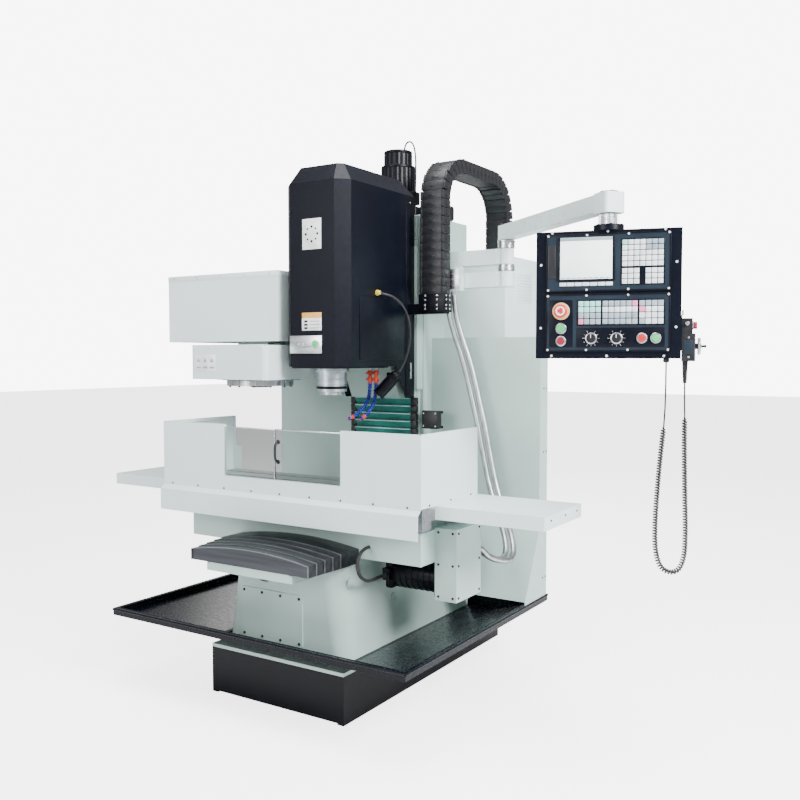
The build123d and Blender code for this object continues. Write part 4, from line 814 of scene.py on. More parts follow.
class BuildEnergyChain(bpy.types.Operator):
    """Arched chain of closed links between the cabinet roof and the head"""
    bl_idname = "mill.energy_chain"
    bl_label = "Energy chain"

    def execute(self, context):
        low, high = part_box("energy_chain")
        thick = CHAIN_THICK
        bend = CHAIN_BEND - thick / 2
        front = low.y + thick / 2
        back = high.y - thick / 2
        top = high.z - thick / 2
        rear_foot = frame["nodes"]["electrical_cabinet"].bound_box[1][2]
        corner = 10
        line = [Vector((0, front, low.z))]
        line += [Vector((0, front + bend - bend * math.cos(t), top - bend + bend * math.sin(t)))
                 for t in (math.pi / 2 * k / corner for k in range(corner + 1))]
        line += [Vector((0, back - bend + bend * math.sin(t), top - bend + bend * math.cos(t)))
                 for t in (math.pi / 2 * k / corner for k in range(corner + 1))]
        line.append(Vector((0, back, rear_foot)))
        pitch = fittings().link
        bm = bmesh.new()
        half = thick / 2 / MM
        x0 = low.x / MM
        x1 = high.x / MM
        middle = x0 + (x1 - x0) / 2
        for a, *_ in frames_along(line, pitch)[:-1]:
            spot = min(range(len(line) - 1), key=lambda k: distance_to_run(a, line[k], line[k + 1]))
            ahead = line[spot + 1] - line[spot]
            tilt = math.atan2(ahead.z, ahead.y) - math.pi / 2
            where = Matrix.Translation(a + ahead.normalized() * pitch / 2) @ Matrix.Rotation(tilt, 4, "X")
            long = pitch / MM / 2
            add_box(bm, x0 + 11, x1 - 11, -half + 2.5, half - 2.5, -long - 2, long + 2, 2, where=where)
            for edge in (x0, x1 - 11):
                add_box(bm, edge, edge + 11, -half, half, -long + 0.5, long - 0.5, 2.5, where=where)
            for x, out in ((x0, -1.5), (x1, 1.5)):
                add_rod(bm, 8, (x, 0, -long * 0.3), (x + out, 0, -long * 0.3), segments=20, bevel=0.5,
                        where=where)
            add_box(bm, middle - 16, middle + 16, -half + 0.8, -half + 3, -6, 6, 0.8, where=where)
        piece = finish_piece(bm, "chain_links", None, "nylon", ("energy_chain",))
        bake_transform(piece)
        bm = bmesh.new()
        add_box(bm, x0 - 4, x1 + 6, low.y / MM - 5, low.y / MM, 1596, 1676, 1)
        add_box(bm, x1, x1 + 6, low.y / MM - 2, low.y / MM + 66, 1596, 1676, 1)
        finish_piece(bm, "chain_end_plate", "head", "black")
        bm = bmesh.new()
        for k in range(2):
            for z in (1610, 1626, 1650, 1668):
                add_screw(bm, (x1 + 6, low.y / MM + 14 + 32 * k, z), (1, 0, 0))
                add_screw(bm, (x0 + 30 + 60 * k, low.y / MM - 5, z), (0, -1, 0))
        finish_piece(bm, "chain_end_screws", "head", "silver")
        return {"FINISHED"}


def distance_to_run(point, a, b):
    """Distance from a point to the straight run between a and b."""
    run = b - a
    share = max(0.0, min(1.0, (point - a).dot(run) / run.length_squared))
    return (a + run * share - point).length


# ---- saddle, guard and lower machine -----------------------------------------------------------------
class BuildWayCover(bpy.types.Operator):
    """Wiper edges of the telescopic Y cover"""
    bl_idname = "mill.way_cover"
    bl_label = "Way cover wipers"

    def execute(self, context):
        for number, body in enumerate(COVER_BODIES):
            low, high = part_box(f"y_cover_stage_{number}")
            half = high.x + 0.0005
            rise = WIPER_RISE
            side = high.z - rise
            radius = (half * half + rise * rise) / (2 * rise)
            reach = math.asin(half / radius)
            steps = 20
            line = [(-half, low.z), (-half, side)]
            line += [(radius * math.sin(t), high.z - radius + radius * math.cos(t))
                     for t in (reach * (2 * k / steps - 1) for k in range(1, steps))]
            line += [(half, side), (half, low.z)]
            bm = bmesh.new()
            verts = [bm.verts.new((x, low.y - 0.005, z)) for x, z in line]
            edges = [bm.edges.new(pair) for pair in zip(verts, verts[1:])]
            made = bmesh.ops.extrude_edge_only(bm, edges=edges)
            moved = [g for g in made["geom"] if isinstance(g, bmesh.types.BMVert)]
            bmesh.ops.translate(bm, vec=(0, 0.0065, 0), verts=moved)
            bmesh.ops.recalc_face_normals(bm, faces=bm.faces)
            bmesh.ops.solidify(bm, geom=bm.faces[:], thickness=0.0024)
            finish_piece(bm, f"wiper_{number}", body, "wiper")
        return {"FINISHED"}


class BuildGuardTrim(bpy.types.Operator):
    """Hems, screws and handle of the table guard and the wing shelves"""
    bl_idname = "mill.guard_trim"
    bl_label = "Guard trim"

    def execute(self, context):
        front = GUARD_FRONT
        back = GUARD_BACK
        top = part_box("table_guard")[1].z / MM
        bm = bmesh.new()
        for sign in (-1, 1):
            x = sign * GUARD_HALF
            add_box(bm, x, x - sign * 14, front, back, top - 2, top, 0.8)
            add_box(bm, x - sign * 12, x - sign * 14, front, back, top - 14, top, 0.8)
            add_box(bm, sign * NOTCH_HALF, x, front, front + 14, top - 2, top, 0.8)
            add_box(bm, sign * NOTCH_HALF, sign * 300, front, front + 14, NOTCH_LOW, top, 0.8)
            add_box(bm, x, x - sign * 18, back - 2, back + 0.2, GUARD_RETURN_TOP, top, 0.6)
        add_box(bm, -NOTCH_HALF, NOTCH_HALF, front, front + 12, NOTCH_LOW - 2, NOTCH_LOW + 0.4, 0.8)
        finish_piece(bm, "guard_hems", "table", "sheet")
        bm = bmesh.new()
        for k in range(9):
            add_screw(bm, (-600 + 150 * k, -620.8, 853), (0, -1, 0), 0.004)
        for sign in (-1, 1):
            for y in (-560, -400, -240):
                add_screw(bm, (sign * GUARD_HALF, y, 858), (sign, 0, 0), 0.004)
            for y in (-460, -330, -220):
                add_screw(bm, (sign * WING_END, y, 830), (sign, 0, 0), 0.004)
        finish_piece(bm, "guard_screws", "table", "nylon")
        bm = bmesh.new()
        grip = path_of([place(-12, y, z) for y, z in ((WINDOW_FACE, 1060), (-632, 1056), (-634, 1020),
                                                      (-632, 984), (WINDOW_FACE, 980))])
        spots = frames_along(grip, 6 * MM)
        for (a, *_), (b, *_) in zip(spots[:-1], spots[1:]):
            add_rod(bm, 5, a / MM, b / MM, segments=14)
        for z in (1060, 980):
            add_rod(bm, 9, (-12, WINDOW_FACE, z), (-12, -616, z), segments=20, bevel=1)
        finish_piece(bm, "window_grip", "window", "nylon")
        bm = bmesh.new()
        add_box(bm, -34, 313, WINDOW_FACE, -607.2, 1106, 1111, 0.8)
        add_box(bm, -34.4, -31, -611.7, -607.1, 898, 1108, 0.6)
        finish_piece(bm, "window_edge", "window", "silver")
        bm = bmesh.new()
        add_box(bm, -313, -26, -616.7, -612.3, 1106, 1111, 0.8)
        finish_piece(bm, "window_edge_left", "table", "silver")
        return {"FINISHED"}


class BuildLowerTrim(bpy.types.Operator):
    """Screws, plugs and edges of the base, tray, drive box and motors"""
    bl_idname = "mill.lower_trim"
    bl_label = "Base and drive trim"

    def execute(self, context):
        bm = bmesh.new()
        low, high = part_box("access_panel")
        x0, x1, y = low.x / MM, high.x / MM, low.y / MM
        z0, z1 = low.z / MM, high.z / MM
        for k in range(4):
            x = x0 + 16 + (x1 - x0 - 32) * k / 3
            add_screw(bm, (x, y, z0 + 14), (0, -1, 0), 0.006)
            add_screw(bm, (x, y, z1 - 14), (0, -1, 0), 0.006)
        finish_piece(bm, "access_screws", "machine_frame", "nylon")
        low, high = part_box("chip_tray")
        x, y0, y1, z = high.x / MM, low.y / MM, high.y / MM, high.z / MM
        bm = bmesh.new()
        for sign in (-1, 1):
            add_rod(bm, 4.5, (sign * (x - 15), y0 + 15, z - 3), (sign * (x - 15), y1, z - 3), segments=16)
            add_rod(bm, 5, (sign * x, y0, z - 4.8), (sign * x, y1, z - 4.8), segments=16)
        add_rod(bm, 5, (-x, y0, z - 4.8), (x, y0, z - 4.8), segments=16)
        add_rod(bm, 4.5, (15 - x, y0 + 15, z - 3), (x - 15, y0 + 15, z - 3), segments=16)
        for sign in (-1, 1):
            for y in (-560, -180, 160):
                add_box(bm, sign * 352, sign * 560, y - 3, y + 3, 205, 226, 1)
                add_box(bm, sign * 330, sign * 352, y - 14, y + 14, 196, 226, 2)
        finish_piece(bm, "tray_beads", "machine_frame", "tray")
        low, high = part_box("x_drive_cover")
        x, y0, y1 = high.x / MM, low.y / MM, high.y / MM
        z0, z1 = low.z / MM, high.z / MM
        bm = bmesh.new()
        for z in (z0 + 16, (z0 + z1) / 2, z1 - 16):
            add_screw(bm, (x - 16, y0, z), (0, -1, 0), 0.005)
            add_screw(bm, (x - DRIVE_DEPTH + 16, y0, z), (0, -1, 0), 0.005)
            add_screw(bm, (x, y0 + 16, z), (1, 0, 0), 0.005)
            add_screw(bm, (x, y1 - 16, z), (1, 0, 0), 0.005)
        finish_piece(bm, "drive_screws", "saddle", "nylon")
        bm = bmesh.new()
        y, z = (y0 + y1) / 2, 530
        for k in range(7):
            xk = 372 + 27 * k
            add_lathe(bm, ((60.5, 0), (64, 1), (64, 9), (60.5, 10), (60.5, 0)), (xk, y, z), (xk + 10, y, z))
        add_box(bm, 566, 591, y - 66, y + 66, z - 66, z + 66, 6)
        add_box(bm, 336, 372, y - 62, y + 62, z - 62, z + 62, 10)
        finish_piece(bm, "x_motor_ribs", "saddle", "black")
        bm = bmesh.new()
        for z in (1079, 1147):
            add_box(bm, 184, 290, 176, 184, z - 6, z + 6, 1)
        add_box(bm, 201, 285, 138, 178, 1072, 1154, 5)
        finish_piece(bm, "limit_switch_box", "machine_frame", "nylon")
        bm = bmesh.new()
        for x in (212, 274):
            for z in (1084, 1142):
                add_screw(bm, (x, 138, z), (0, -1, 0), 0.004)
        finish_piece(bm, "limit_switch_screws", "machine_frame", "silver")
        bm = bmesh.new()
        for side in (-1, 1):
            for yy, zz in ((-530, 512), (-244, 393)):
                reach = 328 - (zz - 204) * 58 / 386
                add_rod(bm, 24, (side * (reach - 3), yy, zz), (side * (reach + 2.5), yy, zz),
                        segments=36, bevel=1.5)
        finish_piece(bm, "base_plugs", "machine_frame", "casting")
        return {"FINISHED"}


class BuildRearTrim(bpy.types.Operator):
    """Louvres, door furniture, splash guard screws and the Z motor"""
    bl_idname = "mill.rear_trim"
    bl_label = "Cabinet and column trim"

    def execute(self, context):
        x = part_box("electrical_cabinet")[1].x / MM
        bm = bmesh.new()
        for sign in (-1, 1):
            add_box(bm, sign * x, sign * (x + 1.5), 496, 678, 1655, 1810, 0.5)
            for row in range(10):
                z = 1668 + 13 * row
                add_box(bm, sign * x, sign * (x + 6), 506, 668, z, z + 6.5, 2.4)
        finish_piece(bm, "cabinet_louvres", "machine_frame", "sheet")
        bm = bmesh.new()
        for sign in (-1, 1):
            for y, z in ((400, 660), (400, 1250), (400, 1840), (820, 660), (820, 1250), (820, 1840)):
                add_screw(bm, (sign * x, y, z), (sign, 0, 0), 0.005)
        for y in (300, 330):
            for z in (420, 700, 980, 1260, 1460):
                for sign in (-1, 1):
                    add_screw(bm, (sign * 730, y, z), (sign, 0, 0), 0.004)
        finish_piece(bm, "cabinet_screws", "machine_frame", "nylon")
        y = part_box("cabinet_door")[1].y / MM
        bm = bmesh.new()
        for z in (820, 1250, 1680):
            add_box(bm, 440, 470, y, y + 6, z - 30, z + 30, 3)
            add_box(bm, 446, 464, y + 6, y + 24, z - 8, z + 8, 3)
        add_box(bm, -420, -180, y, y + 1.5, 1480, 1720, 0.6)
        finish_piece(bm, "door_latches", "cabinet_door", "nylon")
        bm = bmesh.new()
        for row in range(12):
            add_box(bm, -408, -192, y + 1.4, y + 5, 1492 + 19 * row, 1500 + 19 * row, 1.6)
        add_box(bm, -430, 400, y, y + 1.2, 760, 1400, 1)
        finish_piece(bm, "door_grille", "cabinet_door", "sheet")
        bm = bmesh.new()
        for z in (780, 1250, 1720):
            add_rod(bm, 4, (*HINGE, z - 35), (*HINGE, z + 35), segments=20, bevel=1)
        finish_piece(bm, "door_hinges", "cabinet_door", "silver")
        bm = bmesh.new()
        add_box(bm, -78, 78, 177, 333, 2050, 2112, 8)
        add_fluted(bm, 80, 3, 30, (0, 255, 2112), (0, 255, 2282))
        add_rod(bm, 80, (0, 255, 2282), (0, 255, 2294), bevel=3, segments=48)
        add_fluted(bm, 67, 2.5, 26, (0, 255, 2294), (0, 255, 2350))
        add_rod(bm, 67, (0, 255, 2350), (0, 255, 2365), bevel=5, segments=48)
        add_box(bm, 22, 50, 235, 275, 2338, 2366, 3)
        add_box(bm, 60, 104, 225, 285, 2110, 2170, 5)
        finish_piece(bm, "z_motor_shell", "machine_frame", "black", ("z_servo_motor",))
        bm = bmesh.new()
        for end in (140, -60):
            add_rod(bm, 62, (end, 420, 2050), (end, 420, 2120), bevel=12, segments=40)
        add_box(bm, -60, 140, 358, 482, 2050, 2120, 10)
        for k in range(10):
            add_box(bm, 184, 230, 150, 184, 1642 + 41 * k, 1681 + 41 * k, 4)
        add_box(bm, 184, 226, 156, 184, 1640, 2054, 2)
        finish_piece(bm, "column_cable_cover", "machine_frame", "nylon")
        bm = bmesh.new()
        add_lathe(bm, ((4.2, 0), (9, 0), (9, 5), (6.5, 14), (4.2, 15), (4.2, 0)),
                  (95, 255, 2050), (95, 255, 2070))
        finish_piece(bm, "z_motor_gland", "machine_frame", "nylon")
        return {"FINISHED"}


class BuildMagazineTrim(bpy.types.Operator):
    """Lid edges, plate and grippers of the tool magazine"""
    bl_idname = "mill.magazine_trim"
    bl_label = "Magazine trim"

    def execute(self, context):
        low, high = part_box("magazine_cover")
        x0, x1 = low.x / MM, high.x / MM
        y0, y1 = low.y / MM, high.y / MM
        z0, z1 = low.z / MM, high.z / MM
        bm = bmesh.new()
        add_box(bm, x0 - 1.5, x1 + 1, y0 - 1.5, y1, z1 - 22, z1 + 1.5, 1.2)
        add_box(bm, x0 - 1, x1 + 1, y0 - 1, y0 + 10, z0, z0 + 3, 0.8)
        finish_piece(bm, "magazine_lid", "machine_frame", "sheet")
        bm = bmesh.new()
        for k in range(5):
            add_screw(bm, (x0 + 40 + (x1 - x0 - 80) * k / 4, y0 - 1.5, z1 - 11), (0, -1, 0), 0.004)
        for y in (-330, -110, 110):
            add_screw(bm, (x0 - 1.5, y, z1 - 11), (-1, 0, 0), 0.004)
        finish_piece(bm, "magazine_screws", "machine_frame", "silver")
        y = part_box("carousel_housing")[0].y / MM
        bm = bmesh.new()
        add_box(bm, -592, -470, y - 1.2, y, 1336, 1408, 0.5)
        finish_piece(bm, "magazine_plate", "magazine", "label")
        bm = bmesh.new()
        for k in range(3):
            x = -572 + 40 * k
            add_rod(bm, 12, (x, y - 1.2, 1382), (x, y - 2.0, 1382), segments=3)
            add_box(bm, x - 12, x + 14, y - 1.8, y - 1.2, 1348, 1356, 0.3)
        finish_piece(bm, "magazine_plate_marks", "magazine", "grey_key")
        bm = bmesh.new()
        add_box(bm, -622, -184, y + 2, y + 12, 1448.5, 1451, 0.8)
        for x in (-600, -500, -300, -206):
            add_screw(bm, (x, y, 1436), (0, -1, 0), 0.004)
        finish_piece(bm, "housing_trim", "magazine", "sheet")
        low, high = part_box("carousel")
        centre = (low + high) / 2 / MM
        bm = bmesh.new()
        for k in range(12):
            turn = (Matrix.Translation(place(centre.x, centre.y, 0))
                    @ Matrix.Rotation(math.pi * k / 6, 4, "Z"))
            for sign in (-1, 1):
                tilt = turn @ Matrix.Rotation(math.radians(sign * 8), 4, "Z")
                add_box(bm, 150, 192, sign * 15 - 3, sign * 15 + 3, 1296, 1306, 1.5, where=tilt)
            add_rod(bm, 5, (140, 0, 1264), (140, 0, 1270), segments=6, where=turn)
        add_rod(bm, 46, (centre.x, centre.y, 1262), (centre.x, centre.y, 1270), segments=40, bevel=2)
        finish_piece(bm, "tool_grippers", "carousel", "black")
        return {"FINISHED"}


# ---- arm, panel and pendant ----------------------------------------------------------------------------
class BuildArmTrim(bpy.types.Operator):
    """Knurled rings, caps and screws of the panel arm"""
    bl_idname = "mill.arm_trim"
    bl_label = "Arm trim"

    def execute(self, context):
        px, py = panel_pivot[0] / MM, panel_pivot[1] / MM
        ax, ay = (v / MM for v in joint("arm_swing")["pos_m"][:2])
        bm = bmesh.new()
        add_fluted(bm, 35, 1.3, 70, (px, py, 1857), (px, py, 1892))
        finish_piece(bm, "panel_knurled_ring", "panel", "silver")
        bm = bmesh.new()
        add_rod(bm, 38, (px, py, 1836), (px, py, 1857), bevel=2, segments=48)
        finish_piece(bm, "panel_post_flange", "panel", "arm")
        bm = bmesh.new()
        for k in range(6):
            turn = math.pi * k / 3
            add_screw(bm, (px + 46 * math.cos(turn), py + 46 * math.sin(turn), 1855), (0, 0, 1), 0.005)
        finish_piece(bm, "panel_post_screws", "panel", "nylon")
        bm = bmesh.new()
        add_rod(bm, 34, (px, py, 1966.5), (px, py, 1972), bevel=2, segments=48)
        add_rod(bm, 30, (ax, ay, 1966.5), (ax, ay, 1972), bevel=2, segments=48)
        finish_piece(bm, "arm_caps", "swing_arm", "black")
        bm = bmesh.new()
        for x, y, r in ((px, py, 26), (ax, ay, 22)):
            for k in range(4):
                turn = math.pi * (k + 0.5) / 2
                add_screw(bm, (x + r * math.cos(turn), y + r * math.sin(turn), 1972), (0, 0, 1), 0.004)
        finish_piece(bm, "arm_cap_screws", "swing_arm", "silver")
        bm = bmesh.new()
        for z in (1771, 1868):
            add_lathe(bm, ((30.5, 0), (36, 1), (36, 26), (30.5, 27), (30.5, 0)),
                      (ax, ay, z), (ax, ay, z + 27))
        add_lathe(bm, ((30.5, 0), (38, 0), (38, 6), (30.5, 8), (30.5, 0)), (ax, ay, 1895), (ax, ay, 1903))
        finish_piece(bm, "arm_rings", "machine_frame", "silver")
        bm = bmesh.new()
        for z in (1712, 1761, 1809, 1858):
            for y in (180, 224):
                add_screw(bm, (560, y - 8, z), (0, -1, 0), 0.004)
        for z in (1696, 1790, 1876):
            add_screw(bm, (195, 200, z), (1, 0, 0), 0.006)
        add_box(bm, 316, 394, 137, 140, 1698, 1788, 1)
        for x in (326, 360):
            add_rod(bm, 16, (x, 156, 1672), (x, 156, 1692), segments=6, bevel=1)
        finish_piece(bm, "bracket_fittings", "machine_frame", "silver")
        return {"FINISHED"}


def key_grid(bm, x0, x1, z0, z1, columns, rows, gap=2.2, raise_by=1.6, skip=()):
    """Raised keys in a grid between two corners of the panel's face."""
    wide = (x1 - x0 - gap * (columns - 1)) / columns
    tall = (z1 - z0 - gap * (rows - 1)) / rows
    for row in range(rows):
        for column in range(columns):
            if (column, row) not in skip:
                x = x0 + column * (wide + gap)
                z = z0 + row * (tall + gap)
                add_box(bm, x, x + wide, PANEL_FACE - raise_by, PANEL_FACE + 0.2, z, z + tall, 0.9,
                        where=PANEL)


def rows_of(columns, *rows):
    """Places of whole rows in a grid of keys."""
    return {(column, row) for column in range(columns) for row in rows}


def one_key(bm, x0, x1, z0, z1, columns, rows, column, row, gap=2.2):
    """One key of such a grid, for a key of another colour."""
    others = rows_of(columns, *range(rows)) - {(column, row)}
    key_grid(bm, x0, x1, z0, z1, columns, rows, gap, skip=others)


class BuildPanelFace(bpy.types.Operator):
    """Screen, keys, dials, bezels and screws on the control panel"""
    bl_idname = "mill.panel_face"
    bl_label = "Control panel"

    def execute(self, context):
        face = PANEL_FACE
        bm = bmesh.new()
        for z0, z1 in UNIT_HEIGHTS:
            for x0, x1, low, high in ((-210, 210, z1 - 5, z1), (-210, 210, z0, z0 + 5),
                                      (-210, -205, z0, z1), (205, 210, z0, z1)):
                add_box(bm, x0, x1, face - 2, face + 1, low, high, 0.8, where=PANEL)
        add_box(bm, -171, 25, face - 3.5, face + 1, 1662, 1815, 2, where=PANEL)
        add_box(bm, 44, 190, face - 1.2, face + 1, 1645, 1803, 1, where=PANEL)
        add_box(bm, -103, 192, face - 1.2, face + 1, 1507, 1597, 1, where=PANEL)
        add_box(bm, -104, 192, face - 1.0, face + 1, 1432, 1500, 1, where=PANEL)
        add_box(bm, -198, -116, face - 1.0, face + 1, 1432, 1597, 1, where=PANEL)
        finish_piece(bm, "panel_frames", "panel", "panel")
        bm = bmesh.new()
        add_box(bm, -204, -176, face - 2.5, face + 1, 1672, 1788, 2, where=PANEL)
        add_box(bm, -200, -198, face - 4, face - 2, 1680, 1780, 0.6, where=PANEL)
        finish_piece(bm, "card_door", "panel", "nylon")
        bm = bmesh.new()
        add_box(bm, -161, 16, face - 3.9, face - 3, 1668, 1800, 0.3, where=PANEL)
        finish_piece(bm, "screen", "panel", "screen")
        bm = bmesh.new()
        add_box(bm, -161, 16, face - 4.2, face - 3.7, 1800.5, 1812, 0.2, where=PANEL)
        for k in range(9):
            add_box(bm, -158 + 19 * k, -144 + 19 * k, face - 4.3, face - 3.8, 1670, 1674, 0.2, where=PANEL)
        finish_piece(bm, "screen_bars", "panel", "grey_key")
        keys = bmesh.new()
        grey = bmesh.new()
        teal = bmesh.new()
        pink = bmesh.new()
        letters = (49, 185, 1709, 1799, 7, 5)
        modes = (-97, -21, 1512, 1592, 4, 4)
        axes = (-15, 102, 1512, 1592, 6, 4)
        feeds = (108, 187, 1512, 1592, 4, 4)
        key_grid(keys, *letters, skip={(0, 4), (4, 4), (5, 4), (6, 4), (4, 3), (5, 3), (6, 3)})
        for column in (4, 5, 6):
            for row in (3, 4):
                one_key(grey, *letters, column, row)
        one_key(teal, *letters, 0, 4)
        key_grid(keys, 49, 106, 1649, 1702, 3, 3)
        key_grid(keys, 127, 185, 1649, 1702, 3, 3)
        key_grid(keys, -163, 18, 1645, 1657, 7, 1)
        key_grid(grey, *modes, skip=rows_of(4, 2, 3) | {(0, 0)})
        key_grid(teal, *modes, skip=rows_of(4, 0, 1))
        one_key(pink, *modes, 0, 0)
        key_grid(keys, *axes, skip=rows_of(6, 0, 1, 3))
        key_grid(grey, *axes, skip=rows_of(6, 2) | {(5, 3)})
        one_key(pink, *axes, 5, 3)
        key_grid(keys, *feeds, skip={(0, 0), (0, 2), (0, 3), (1, 3), (2, 3), (3, 3)})
        key_grid(grey, *feeds, skip=rows_of(4, 0, 1, 2) - {(0, 0)})
        one_key(pink, *feeds, 0, 2)
        for pile, name, finish in ((keys, "white_keys", "key"), (grey, "grey_keys", "grey_key"),
                                   (teal, "teal_keys", "teal_key"), (pink, "pink_keys", "pink_key")):
            finish_piece(pile, name, "panel", finish)
        bezels = bmesh.new()
        for x, z, inner, outer in ((-157, 1498, 14.3, 19), (-157, 1454, 13.3, 18), (117, DIAL_ROW, 13, 18),
                                   (163, DIAL_ROW, 13, 18)):
            add_lathe(bezels, ((inner, 0), (outer, 0), (outer, 3.5), (outer - 2, 5.5), (inner, 5.5),
                               (inner, 0)),
                      (x, face, z), (x, face - 10, z), where=PANEL)
        for x in (-53, 33):
            add_lathe(bezels, ((15.4, 0), (20, 0), (20, 1.6), (18.6, 2.4), (15.4, 2.4), (15.4, 0)),
                      (x, face, DIAL_ROW), (x, face - 10, DIAL_ROW), where=PANEL)
            for k in range(11):
                turn = math.radians(-60 + 30 * k)
                spoke = PANEL @ Matrix.Translation(place(x, face, DIAL_ROW)) @ Matrix.Rotation(turn, 4, "Y")
                add_box(bezels, 22.5, 28 if k % 2 else 30, -1.4, 0, -0.7, 0.7, 0.2, where=spoke)
        finish_piece(bezels, "button_bezels", "panel", "silver")
        bm = bmesh.new()
        add_lathe(bm, ((16.6, 0), (30, 0), (30, 2), (27, 4), (16.6, 4), (16.6, 0)), (-157, face, 1558),
                  (-157, face - 10, 1558), where=PANEL)
        finish_piece(bm, "e_stop_ring", "panel", "amber")
        bm = bmesh.new()
        add_lathe(bm, ((11, 0), (16, 0), (16, 1.2), (11, 1.6), (11, 0)), (-157, face - 28, 1558),
                  (-157, face - 38, 1558), where=PANEL)
        for k in range(3):
            spoke = (PANEL @ Matrix.Translation(place(-157, face - 28, 1558))
                     @ Matrix.Rotation(2 * math.pi * k / 3, 4, "Y"))
            add_box(bm, 8, 14, -1.8, 0, -2, 2, 0.5, where=spoke)
        finish_piece(bm, "e_stop_arrows", "e_stop", "label")
        for name, x, finish in (("hold_button", 117, "red"), ("cycle_button", 163, "green")):
            bm = bmesh.new()
            add_rod(bm, 12.7, (x, face, DIAL_ROW), (x, face - 8, DIAL_ROW), bevel=1.5, where=PANEL)
            finish_piece(bm, name, "panel", finish)
        for name, x, body in (("feed_pointer", -53, "feed_knob"), ("spindle_pointer", 33, "spindle_knob")):
            bm = bmesh.new()
            add_box(bm, x - 1, x + 1, face - 25, face - 23.6, DIAL_ROW + 1, DIAL_ROW + 13, 0.3, where=PANEL)
            finish_piece(bm, name, body, "label")
        screws = bmesh.new()
        for x in (-190, 0, 190):
            for z in (1402, 1830.5):
                add_screw(screws, (x, -38, z), (0, -1, 0), 0.0042, where=PANEL)
        for z in (1500, 1720):
            for x in (-228, 228):
                add_screw(screws, (x, -38, z), (0, -1, 0), 0.0042, where=PANEL)
        for z0, z1 in UNIT_HEIGHTS:
            for x in (-203, -70, 70, 203):
                for z in (z0 + 6, z1 - 6):
                    add_screw(screws, (x, face - 2, z), (0, -1, 0), 0.0036, where=PANEL)
        finish_piece(screws, "panel_screws", "panel", "label")
        bm = bmesh.new()
        for row in range(9):
            add_box(bm, -150, 150, 50, 53, 1480 + 18 * row, 1488 + 18 * row, 1.4, where=PANEL)
        add_box(bm, -215, 215, 50, 51.5, 1425, 1805, 1, where=PANEL)
        finish_piece(bm, "panel_back_vents", "panel", "panel")
        return {"FINISHED"}


class BuildPendant(bpy.types.Operator):
    """Handwheel, selector trim and strain relief of the hand pendant"""
    bl_idname = "mill.pendant"
    bl_label = "Hand pendant"

    def execute(self, context):
        bm = bmesh.new()
        add_lathe(bm, ((0, 0), (27, 0), (29, 2), (29, 8), (26, 10), (22, 10), (20, 8), (9, 8), (9, 12),
                       (0, 12)),
                  (300, 0, WHEEL_Z), (312, 0, WHEEL_Z), 48, PANEL)
        add_fluted(bm, 29.6, 0.7, 50, (302.5, 0, WHEEL_Z), (307.5, 0, WHEEL_Z), where=PANEL)
        add_rod(bm, 2.2, (309, 18, WHEEL_Z), (329.5, 18, WHEEL_Z), segments=12, where=PANEL)
        finish_piece(bm, "pendant_wheel", "handwheel", "silver", ("pendant_handwheel",))
        bm = bmesh.new()
        add_lathe(bm, ((2.2, 0), (5, 1), (4, 8), (5.4, 14), (4.4, 17), (2.2, 17), (2.2, 0)),
                  (312, 18, WHEEL_Z), (329, 18, WHEEL_Z), 20, PANEL)
        finish_piece(bm, "pendant_crank", "handwheel", "nylon")
        bm = bmesh.new()
        add_lathe(bm, ((6, 0), (14.5, 0), (14.5, 2), (12.5, 3), (6, 3), (6, 0)),
                  (282.2, 0, 1506), (290, 0, 1506), 32, PANEL)
        add_rod(bm, 6.5, (265, -28, 1512), (265, -38, 1512), bevel=1.5, where=PANEL)
        add_rod(bm, 3, (250.5, -10, 1540), (250.5, -10, 1558), segments=12, where=PANEL)
        for z in (1398, 1464):
            add_screw(bm, (270, -34, z), (0, -1, 0), 0.0032, where=PANEL)
        finish_piece(bm, "pendant_trim", "panel", "silver")
        bm = bmesh.new()
        add_box(bm, 254, 284, -35.2, -33.8, 1408, 1456, 0.6, where=PANEL)
        finish_piece(bm, "pendant_plate", "panel", "overlay")
        bm = bmesh.new()
        x, y, z = PENDANT_ROUTE[0]
        add_rod(bm, 12, (x, y, z + 14), (x, y, z + 8), segments=6, bevel=0.8, where=PANEL)
        add_lathe(bm, ((3.1, 0), (11, 0), (11, 4), (8.5, 8), (3.1, 9), (3.1, 0)), (x, y, z + 9), (x, y, z),
                  24, PANEL)
        x, y, z = PENDANT_ROUTE[-1]
        reach = PENDANT_UNDERSIDE - z
        outline = [(3.1, 0), (6.6, 0)]
        ribs = 13
        for k in range(ribs):
            radius = 6.8 + 3.6 * k / ribs
            base = reach * (k + 0.15) / ribs
            outline += [(radius, base), (radius, base + 3.2), (radius - 1.5, base + 3.4)]
        outline += [(11.5, reach), (3.1, reach), (3.1, 0)]
        add_lathe(bm, outline, (x, y, z), (x, y, PENDANT_UNDERSIDE), 24, PANEL)
        finish_piece(bm, "pendant_glands", "panel", "nylon", ("cord_glands",))
        return {"FINISHED"}


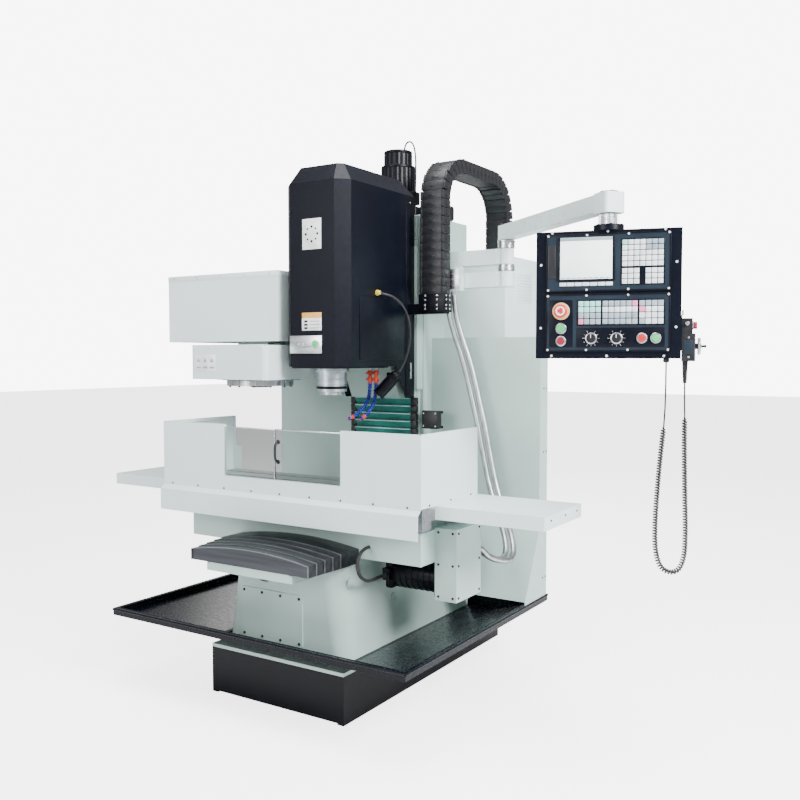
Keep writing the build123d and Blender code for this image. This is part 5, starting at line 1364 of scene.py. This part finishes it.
# ---- stage -------------------------------------------------------------------------------------------
class BuildStage(bpy.types.Operator):
    """Pale floor, soft lights and camera"""
    bl_idname = "mill.stage"
    bl_label = "Stage"

    def execute(self, context):
        bm = bmesh.new()
        bmesh.ops.create_grid(bm, x_segments=1, y_segments=1, size=30)
        mesh = bpy.data.meshes.new("floor")
        bm.to_mesh(mesh)
        bm.free()
        floor = bpy.data.objects.new("floor", mesh)
        context.scene.collection.objects.link(floor)
        finish = Finish("floor_white", (0.93, 0.93, 0.94), 0.6)
        finish.set(emission_color=(1, 1, 1, 1))
        shown = finish.nodes.new("ShaderNodeLightPath")
        glow = finish.nodes.new("ShaderNodeMapRange")
        glow.inputs["To Max"].default_value = 3.2
        finish.links.new(shown.outputs["Is Camera Ray"], glow.inputs["Value"])
        finish.links.new(glow.outputs["Result"], finish.shader.inputs["Emission Strength"])
        mesh.materials.append(finish.tone((0.92, 0.92, 0.93), (0.94, 0.94, 0.95), 0.8).material)
        world = bpy.data.worlds.new("studio")
        context.scene.world = world
        world.use_nodes = True
        nodes = world.node_tree.nodes
        backdrop = nodes["Background"]
        backdrop.inputs["Color"].default_value = (1.0, 1.0, 1.0, 1)
        rays = nodes.new("ShaderNodeLightPath")
        strength = nodes.new("ShaderNodeMapRange")
        strength.inputs["To Min"].default_value = 0.55
        strength.inputs["To Max"].default_value = 8.0
        world.node_tree.links.new(rays.outputs["Is Camera Ray"], strength.inputs["Value"])
        world.node_tree.links.new(strength.outputs["Result"], backdrop.inputs["Strength"])
        for name, spot, target, size, power in (
                ("key", (4.8, -1.4, 3.6), (0.2, 0, 1.1), 2.2, 620),
                ("fill", (-1.2, -5.2, 2.6), (0, 0, 1.0), 3.0, 165),
                ("top", (0.2, -0.8, 5.0), (0, -0.2, 0.8), 3.0, 230),
                ("back", (-2.5, 4.2, 3.6), (0, 0.4, 1.2), 2.6, 120)):
            light = bpy.data.lights.new(name, "AREA")
            light.shape = "DISK"
            light.size = size
            light.energy = power
            lamp = bpy.data.objects.new(name, light)
            lamp.location = spot
            lamp.rotation_euler = (Vector(target) - Vector(spot)).to_track_quat("-Z", "Y").to_euler()
            context.scene.collection.objects.link(lamp)
        lens = bpy.data.cameras.new("camera")
        lens.lens = 40
        lens.sensor_width = 36
        camera = bpy.data.objects.new("camera", lens)
        camera.location = (2.293, -3.328, 1.400)
        camera.rotation_euler = (math.radians(90 - 2.8), 0, math.radians(32.5))
        context.scene.collection.objects.link(camera)
        context.scene.camera = camera
        return {"FINISHED"}


OPERATORS = (BuildCords, PaintFrame, BuildHeadTrim, BuildNozzles, BuildWorkLamp, BuildBellows,
             BuildEnergyChain, BuildWayCover, BuildGuardTrim, BuildLowerTrim, BuildRearTrim,
             BuildMagazineTrim, BuildArmTrim, BuildPanelFace, BuildPendant, BuildStage)


class MillPanel(bpy.types.Panel):
    """Lists the settings and the pieces of the milling machine"""
    bl_idname = "VIEW3D_PT_bed_mill"
    bl_label = "Bed Mill"
    bl_space_type = "VIEW_3D"
    bl_region_type = "UI"
    bl_category = "Bed Mill"

    def draw(self, context):
        column = self.layout.column()
        for group in (context.scene.mill_paint, context.scene.mill_fittings):
            for name in group.__annotations__:
                column.prop(group, name)
        for operator in OPERATORS:
            column.operator(operator.bl_idname)


CLASSES = (MillPaint, MillFittings, *OPERATORS, MillPanel)


def register():
    for cls in CLASSES:
        bpy.utils.register_class(cls)
    bpy.types.Scene.mill_paint = bpy.props.PointerProperty(type=MillPaint)
    bpy.types.Scene.mill_fittings = bpy.props.PointerProperty(type=MillFittings)


def unregister():
    del bpy.types.Scene.mill_fittings
    del bpy.types.Scene.mill_paint
    for cls in reversed(CLASSES):
        bpy.utils.unregister_class(cls)


def main():
    register()
    make_finishes()
    for operator in OPERATORS:
        group, name = operator.bl_idname.split(".")
        getattr(getattr(bpy.ops, group), name)()
    bpy.context.view_layer.update()


if __name__ == "__main__":
    main()
